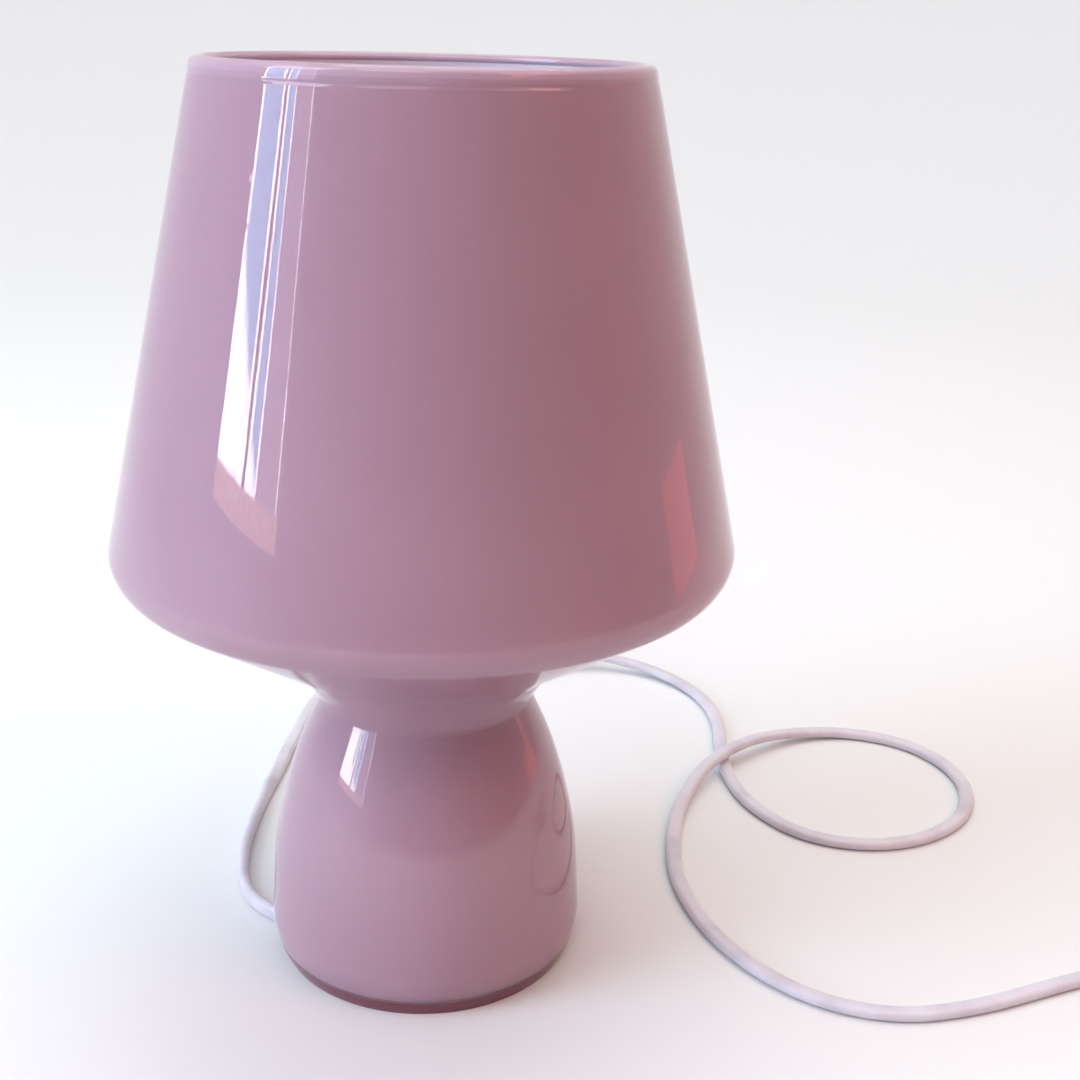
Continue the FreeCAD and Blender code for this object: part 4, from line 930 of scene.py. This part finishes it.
@dataclass
class Bulb:
    """Ball bulb with its screw cap, in millimetres.

    Attributes:
        base: height of the foot of the cap.
        cap_top: height at which the cap is widest.
        cap_radius: radius over the crests of the thread.
        collar: radius of the cap's top.
        collar_high: how high the collar is.
        neck_high: how high the neck is.
        neck_steps: for each ring down the neck, how far down it lies and how much of the
            difference in radius is left.
        ball: radius of the ball.
        top: height of the top of the ball.
        pitch: rise of the thread in one turn.
    """

    base: float = 111.6
    cap_top: float = 131.5
    cap_radius: float = 7.0
    collar: float = 8.4
    collar_high: float = 2.0
    neck_high: float = 14.0
    neck_steps: tuple[tuple[float, float], ...] = ((0.35, 0.24), (0.7, 0.05), (1.0, 0.0))
    ball: float = 22.5
    top: float = 187.0
    pitch: float = 2.82

    def build(self) -> None:
        """Makes the globe and the cap."""
        self.build_globe()
        self.build_cap()

    def build_globe(self) -> None:
        """Cuts a ball above its neck and grows the neck down from the cut."""
        centre = self.top - self.ball
        foot = self.cap_top + self.collar_high
        waist = self.collar - 0.6
        bm = bmesh.new()
        bmesh.ops.create_uvsphere(bm, u_segments=96, v_segments=64, radius=self.ball * MM)
        bmesh.ops.translate(bm, vec=(0, 0, centre * MM), verts=bm.verts[:])
        level = (foot + self.neck_high) * MM
        bmesh.ops.bisect_plane(
            bm,
            geom=bm.verts[:] + bm.edges[:] + bm.faces[:],
            dist=1e-7,
            plane_co=(0, 0, level),
            plane_no=(0, 0, 1),
            clear_inner=True,
        )
        rim = [e for e in bm.edges if e.is_boundary]
        radius = max(math.hypot(v.co.x, v.co.y) for e in rim for v in e.verts) / MM
        for share, width in self.neck_steps:
            grown = bmesh.ops.extrude_edge_only(bm, edges=rim)["geom"]
            rim = [item for item in grown if isinstance(item, bmesh.types.BMEdge)]
            ring = [item for item in grown if isinstance(item, bmesh.types.BMVert)]
            want = waist + (radius - waist) * width
            for vert in ring:
                scale = want * MM / math.hypot(vert.co.x, vert.co.y)
                vert.co.x *= scale
                vert.co.y *= scale
                vert.co.z = level + (foot * MM - level) * share
        bmesh.ops.holes_fill(bm, edges=rim)
        bmesh.ops.recalc_face_normals(bm, faces=bm.faces[:])
        finish_piece(
            "bulb_globe", bm, [PEARL], BodyName.BULB, ["bulb_glass"], 60.0
        )

    def build_cap(self) -> None:
        """Turns the cap's core and winds its rolled thread round it."""
        root = self.cap_radius - 0.75
        high = self.cap_top
        bm = solid_turning(
            [
                Corner(0, self.base),
                Corner(self.cap_radius - 2.0, self.base, 0.6),
                Corner(root, self.base + 2.2, 0.8),
                Corner(root, high - 2.4, 0.8),
                Corner(self.collar, high, 0.5),
                Corner(self.collar, high + self.collar_high, 0.4),
                Corner(0, high + self.collar_high),
            ],
            96,
        )
        turns, steps = 5.0, 48
        ridge = bmesh.new()
        low = self.base + 2.6
        trace(
            ridge,
            [
                Corner(root - 0.25, low - 1.0),
                Corner(root + 0.35, low - 0.55, 0.5),
                Corner(self.cap_radius, low, 0.6),
                Corner(root + 0.35, low + 0.55, 0.5),
                Corner(root - 0.25, low + 1.0),
            ],
            4,
        )
        bmesh.ops.spin(
            ridge,
            geom=ridge.verts[:] + ridge.edges[:],
            cent=(0, 0, 0),
            axis=(0, 0, 1),
            dvec=(0, 0, self.pitch / steps * MM),
            angle=FULL_TURN * turns,
            steps=int(steps * turns),
            use_merge=False,
            use_duplicate=False,
        )
        bmesh.ops.holes_fill(ridge, edges=[e for e in ridge.edges if e.is_boundary])
        bmesh.ops.recalc_face_normals(ridge, faces=ridge.faces[:])
        finish_piece("bulb_cap_core", bm, [NICKEL], BodyName.BULB, ["bulb_cap"])
        finish_piece("bulb_thread", ridge, [NICKEL], BodyName.BULB)


# ---------------------------------------------------------------- cord


# Height of the flat cord's middle: laid flat, on edge, and in the switch.
LAID = 0.0018
ON_EDGE = 0.0028
IN_SWITCH = 0.0065

INNER_ROUTE = (
    (0.0, 0.0, 0.060),
    (0.0, 0.0, 0.043),
    (0.001, -0.006, 0.025),
    (-0.004, -0.017, 0.0095),
    (-0.019, -0.018, ON_EDGE),
    (-0.033, -0.00745, ON_EDGE),
    (-0.0465, 0.002, ON_EDGE),
)

FREE_ROUTE = (
    (-0.0465, 0.002, ON_EDGE),
    (-0.0547, 0.00774, ON_EDGE),
    (-0.0616, 0.0200, ON_EDGE),
    (-0.0638, 0.0380, ON_EDGE),
    (-0.0633, 0.0597, ON_EDGE),
    (-0.0602, 0.0886, 0.0024),
    (-0.0553, 0.1215, LAID),
    (-0.0500, 0.1565, LAID),
    (-0.041, 0.185, 0.0030),
    (-0.024, 0.200, IN_SWITCH),
    (-0.004, 0.200, IN_SWITCH),
    (0.058, 0.200, IN_SWITCH),
    (0.080, 0.200, IN_SWITCH),
    (0.1035, 0.191, 0.0030),
    (0.1195, 0.169, LAID),
    (0.1235, 0.142, LAID),
    (0.1185, 0.114, LAID),
    (0.118, 0.090, LAID),
    (0.1225, 0.069, LAID),
    (0.1365, 0.048, LAID),
    (0.1595, 0.040, LAID),
    (0.1835, 0.045, LAID),
    (0.2035, 0.062, LAID),
    (0.2115, 0.089, LAID),
    (0.2015, 0.116, LAID),
    (0.1785, 0.1295, LAID),
    (0.1535, 0.128, 0.0032),
    (0.1305, 0.116, 0.0064),
    (0.110, 0.097, 0.0064),
    (0.0955, 0.073, 0.0032),
    (0.088, 0.046, LAID),
    (0.0855, 0.017, LAID),
    (0.0935, -0.017, LAID),
    (0.1125, -0.044, LAID),
    (0.1385, -0.056, LAID),
    (0.1665, -0.0524, LAID),
    (0.193, -0.043, LAID),
    (0.220, -0.0346, LAID),
    (0.248, -0.0286, 0.0023),
    (0.270, -0.0286, 0.0023),
)

TAIL_ROUTE = (
    (0.280, -0.0286, 0.0062),
    (0.297, -0.0286, 0.0064),
    (0.316, -0.0241, 0.0068),
    (0.326, -0.011, 0.0068),
    (0.326, 0.002, 0.0068),
)


def spline_points(
    name: str, points: Sequence[Sequence[float]], resolution: int = 12
) -> tuple[bpy.types.Object, list[Vector]]:
    """Lays one smooth spline along a route and reads its line.

    Args:
        name: name of the curve.
        points: control points, in metres.
        resolution: points read for each control point.

    Returns:
        The curve and the points of its line.
    """
    curve = bpy.data.curves.new(name, "CURVE")
    curve.dimensions = "3D"
    curve.resolution_u = resolution
    spline = curve.splines.new("NURBS")
    spline.points.add(len(points) - 1)
    for knot, place in zip(spline.points, points):
        knot.co = (*place, 1.0)
    spline.order_u = 3
    spline.use_endpoint_u = True
    holder = bpy.data.objects.new(name, curve)
    bpy.context.scene.collection.objects.link(holder)
    graph = bpy.context.evaluated_depsgraph_get()
    line = bpy.data.meshes.new_from_object(holder.evaluated_get(graph))
    places = [v.co.copy() for v in line.vertices]
    bpy.data.meshes.remove(line)
    return holder, places


@dataclass
class FlatCord:
    """Flat two-core lamp cord, in millimetres.

    Attributes:
        width: across the flat.
        thick: through the flat.
        coil_centre: middle of the coil.
        coil_start: radius of its outer half turn.
        coil_step: how much each half turn closes in.
        coil_low: height of the lower layer.
        coil_high: height of the upper layer.
        knots: control points to a half turn.
        edge_until: run along the free cord up to which it stands on edge.
        flat_from: run from which it lies flat.
        sides: edges of the section.
    """

    width: float = 5.4
    thick: float = 3.4
    coil_centre: tuple[float, float] = (275.0, 5.0)
    coil_start: float = 33.6
    coil_step: float = 2.8
    coil_low: float = 2.4
    coil_high: float = 6.0
    edge_until: float = 70.0
    flat_from: float = 125.0
    knots: int = 6
    sides: int = 20

    def coil_points(self) -> list[Place]:
        """Gives the control points of the coil.

        Returns:
            The points, in metres, from the outer turn in and out again on top.
        """
        points = []
        x, y = self.coil_centre
        y -= self.coil_start
        facing = 1.0
        radii = [self.coil_start - self.coil_step * i for i in range(5)]
        radii += [radii[-1] + self.coil_step * i for i in range(1, 4)]
        for count, radius in enumerate(radii):
            hub = y + facing * radius
            reach = radius / math.cos(math.pi / 12)
            for step in range(self.knots):
                share = (step + 0.5) / self.knots
                angle = -facing * math.pi / 2 + math.pi * share
                rise = share if count == 4 else float(count > 4)
                level = self.coil_low + (self.coil_high - self.coil_low) * rise
                along, side = reach * math.cos(angle), reach * math.sin(angle)
                points.append(((x + along) * MM, (hub + side) * MM, level * MM))
            y += facing * 2 * radius
            facing = -facing
        return points

    def section(self, bm: Mesh, frame_at: Matrix) -> list[bmesh.types.BMEdge]:
        """Puts the cord's oval section at a place.

        Args:
            bm: the mesh to draw in.
            frame_at: place, width axis first.

        Returns:
            The section's edges.
        """
        radius = self.thick / 2 * MM
        made = bmesh.ops.create_circle(bm, segments=self.sides, radius=radius)["verts"]
        bmesh.ops.rotate(bm, verts=made, matrix=Matrix.Rotation(math.pi / self.sides, 3, "Z"))
        straight = (self.width - self.thick) / 2 * MM
        for vert in made:
            vert.co.x += math.copysign(straight, vert.co.x)
        bmesh.ops.transform(bm, matrix=frame_at, verts=made)
        return list({edge for vert in made for edge in vert.link_edges})

    def sweep(self, line: Sequence[Vector], across: Sequence[Vector]) -> Mesh:
        """Sweeps the section along a line.

        Args:
            line: the points of the cord's middle.
            across: the direction of its width at each point.

        Returns:
            The cord's closed mesh.
        """
        bm = bmesh.new()
        frames = []
        for index, place in enumerate(line):
            ahead = line[min(index + 1, len(line) - 1)] - line[max(index - 1, 0)]
            forward = ahead.normalized()
            side = (across[index] - forward * across[index].dot(forward)).normalized()
            up = forward.cross(side)
            turn = Matrix((side, up, forward)).transposed().to_4x4()
            frames.append(Matrix.Translation(place) @ turn)
        rim = self.section(bm, frames[0])
        bmesh.ops.holes_fill(bm, edges=rim)
        for before, after in zip(frames, frames[1:]):
            grown = bmesh.ops.extrude_edge_only(bm, edges=rim)["geom"]
            rim = [item for item in grown if isinstance(item, bmesh.types.BMEdge)]
            ring = [item for item in grown if isinstance(item, bmesh.types.BMVert)]
            bmesh.ops.transform(bm, matrix=after @ before.inverted(), verts=ring)
        bmesh.ops.holes_fill(bm, edges=rim)
        bmesh.ops.recalc_face_normals(bm, faces=bm.faces[:])
        return bm

    def build(self) -> None:
        """Makes the cord inside the base and the free cord."""
        self.build_inner()
        self.build_free()

    def build_inner(self) -> None:
        """Sweeps the stretch from the grip to the notch, turning on edge as it goes."""
        holder, line = spline_points("inner_route", INNER_ROUTE)
        across = [Vector((0, 0, 1))]
        back = list(reversed(line))
        for before, after, later in zip(back, back[1:], back[2:] + [back[-1]]):
            ahead = later - after if later != after else after - before
            bend = (after - before).rotation_difference(ahead)
            turned = across[-1].copy()
            turned.rotate(bend)
            across.append(turned)
        across.reverse()
        bm = self.sweep(line, across)
        piece = finish_piece(
            "cord_in_base", bm, [CORD_VINYL], BodyName.LAMP, ["cord_inner"]
        )
        bpy.data.objects.remove(holder)

    def build_free(self) -> None:
        """Sweeps the stretch from the notch to the plug, on edge first and then flat."""
        points = [*FREE_ROUTE, *self.coil_points(), *TAIL_ROUTE]
        holder, line = spline_points("free_route", points)
        across = []
        run = 0.0
        for index, place in enumerate(line):
            ahead = line[min(index + 1, len(line) - 1)] - line[max(index - 1, 0)]
            run += (place - line[max(index - 1, 0)]).length
            share = (run / MM - self.edge_until) / (self.flat_from - self.edge_until)
            share = min(max(share, 0.0), 1.0)
            tilt = math.pi / 2 * (1 - share * share * (3 - 2 * share))
            side = ahead.cross(Vector((0, 0, 1))).normalized()
            side.rotate(Matrix.Rotation(tilt, 3, ahead.normalized()))
            across.append(side)
        bm = self.sweep(line, across)
        replaced = ["cord_lamp", "cord_loop", "cord_coil", "cord_tail"]
        piece = finish_piece("cord_free", bm, [CORD_VINYL], BodyName.LAMP, replaced)
        bpy.data.objects.remove(holder)


# ---------------------------------------------------------------- studio


@dataclass(frozen=True)
class SoftPanel:
    """One lit panel of the studio, aimed at a point.

    Attributes:
        name: the light's name.
        place: where it stands.
        target: what it faces.
        size: its width and height.
        radiance: how bright its face looks.
        colour: sRGB hex.
    """

    name: str
    place: Place
    target: Place
    size: tuple[float, float]
    radiance: float
    colour: str = "#ffffff"

    def build(self) -> None:
        """Adds the light."""
        lamp = bpy.data.lights.new(self.name, "AREA")
        lamp.shape = "RECTANGLE"
        lamp.size, lamp.size_y = self.size
        lamp.energy = self.radiance * math.pi * self.size[0] * self.size[1]
        lamp.color = linear(self.colour)[:3]
        holder = bpy.data.objects.new(self.name, lamp)
        aim = Vector(self.target) - Vector(self.place)
        turn = aim.to_track_quat("-Z", "Y").to_matrix().to_4x4()
        holder.matrix_world = Matrix.Translation(self.place) @ turn
        holder.visible_camera = False
        bpy.context.scene.collection.objects.link(holder)
        LOG.info("%s: light", self.name)


@dataclass(frozen=True)
class TallWindow:
    """Glowing picture of a window that stands out of the picture at the left.

    Attributes:
        away: how far from the lamp.
        from_deg: azimuth of its left edge, from -Y towards +X.
        to_deg: azimuth of its right edge.
        foot: height of its lower edge.
        head: height of its upper edge.
    """

    away: float = 1.1
    from_deg: float = -80.0
    to_deg: float = -52.0
    foot: float = 0.12
    head: float = 0.82

    def build(self) -> None:
        """Adds the window."""
        middle = math.radians((self.from_deg + self.to_deg) / 2)
        half = self.away * math.tan(math.radians(self.to_deg - self.from_deg) / 2)
        bm = bmesh.new()
        bm.loops.layers.uv.new("UVMap")
        bmesh.ops.create_grid(bm, x_segments=1, y_segments=1, size=0.5, calc_uvs=True)
        # The width is negative so that the glass mirrors the picture the right way round.
        size = Matrix.Diagonal((-2 * half, self.head - self.foot, 1, 1))
        upright = Matrix.Rotation(math.pi / 2, 4, "X")
        turn = Matrix.Rotation(middle + math.pi, 4, "Z")
        place = Vector((math.sin(middle), -math.cos(middle), 0)) * self.away
        place.z = (self.head + self.foot) / 2
        bmesh.ops.transform(
            bm, matrix=Matrix.Translation(place) @ turn @ upright @ size, verts=bm.verts[:]
        )
        piece = object_from("tall_window", bm)
        piece.data.materials.append(WINDOW.material())


@dataclass
class Studio:
    """Pale sweep, window, panels and sky.

    Attributes:
        floor_radius: how far the floor reaches, in metres.
        wall_height: height of the wall round it.
        sweep_radius: radius of the curve between them.
        sky: sRGB hex of the sky.
        sky_strength: how bright the sky is.
        window: the window at the left.
        panels: the lights.
    """

    floor_radius: float = 2.6
    wall_height: float = 2.4
    sweep_radius: float = 1.4
    sky: str = "#f1f5f6"
    sky_strength: float = 1.04
    window: TallWindow = TallWindow()
    panels: tuple[SoftPanel, ...] = (
        SoftPanel("key", (-1.55, -0.55, 1.5), (0, 0, 0.15), (1.1, 0.9), 6.2, "#dbeaff"),
        SoftPanel("overhead", (0.2, 0.6, 2.3), (0, 0, 0.1), (1.8, 1.8), 1.7, "#ffffff"),
        SoftPanel("red_side", (0.84, 0.16, 0.05), (0, 0, 0.12), (0.25, 0.12), 1.7, "#e0474f"),
        SoftPanel("warm_side", (1.5, -0.9, 1.5), (0, 0, 0.15), (1.2, 0.9), 3.8, "#ffa27c"),
        SoftPanel("front", (-0.5, -1.5, 1.9), (0, 0, 0.15), (1.2, 0.9), 1.7, "#fff2f2"),
    )

    def build(self) -> None:
        """Builds the sweep, the sky and the lights."""
        bm = bmesh.new()
        radius, height = self.floor_radius / MM, self.wall_height / MM
        line = [Corner(0, 0), Corner(radius, 0, self.sweep_radius / MM), Corner(radius, height)]
        trace(bm, line, 24)
        turn_section(bm, 96)
        for face in bm.faces:
            if face.normal.dot(Vector((0, 0, 1)) - face.calc_center_median()) < 0:
                face.normal_flip()
        sweep = object_from("sweep", bm)
        sweep.data.shade_smooth()
        sweep.data.materials.append(SWEEP.material())
        world = bpy.data.worlds.new("sky")
        world.use_nodes = True
        back = world.node_tree.nodes["Background"]
        back.inputs["Color"].default_value = linear(self.sky)
        back.inputs["Strength"].default_value = self.sky_strength
        bpy.context.scene.world = world
        self.window.build()
        for panel in self.panels:
            panel.build()


@dataclass(frozen=True)
class PhotoCamera:
    """Camera at the photograph's angle.

    Attributes:
        place: where it stands.
        yaw_deg: turn from +Y towards +X.
        pitch_deg: how far it looks down.
        roll_deg: lean.
        focal_px: focal length in pixels of the frame.
        frame_px: width of the frame.
        sensor_mm: width of the sensor.
    """

    place: Place = (0.0, -0.41666, 0.2816)
    yaw_deg: float = 4.65
    pitch_deg: float = 19.5
    roll_deg: float = 1.47
    focal_px: float = 1482.0
    frame_px: int = 1080
    sensor_mm: float = 36.0

    def build(self) -> None:
        """Adds the camera and makes it the scene's."""
        yaw, pitch, roll = (math.radians(a) for a in (self.yaw_deg, self.pitch_deg, self.roll_deg))
        ahead = Vector(
            (math.sin(yaw) * math.cos(pitch), math.cos(yaw) * math.cos(pitch), -math.sin(pitch))
        )
        level = Vector((math.cos(yaw), -math.sin(yaw), 0))
        above = level.cross(ahead)
        right = level * math.cos(roll) + above * math.sin(roll)
        up = above * math.cos(roll) - level * math.sin(roll)
        lens = bpy.data.cameras.new("photo_camera")
        lens.sensor_width = self.sensor_mm
        lens.lens = self.focal_px / self.frame_px * self.sensor_mm
        lens.clip_start = 0.01
        holder = bpy.data.objects.new("photo_camera", lens)
        axes = Matrix((right, up, -ahead)).transposed().to_4x4()
        holder.matrix_world = Matrix.Translation(self.place) @ axes
        bpy.context.scene.collection.objects.link(holder)
        bpy.context.scene.camera = holder


def main() -> None:
    """Builds every sub-assembly in order."""
    bpy.context.scene.view_settings.view_transform = "Standard"
    steps: list[tuple[str, Callable[[], None]]] = [
        ("camera", PhotoCamera().build),
        ("studio", Studio().build),
        ("cord", FlatCord().build),
        ("cord fittings", ON_THE_CORD.build),
        ("glass", GlassBody().build),
        ("fittings", IN_THE_GLASS.build),
        ("bulb", Bulb().build),
    ]
    for title, step in steps:
        step()
        LOG.info("built: %s", title)


if __name__ == "__main__":
    main()
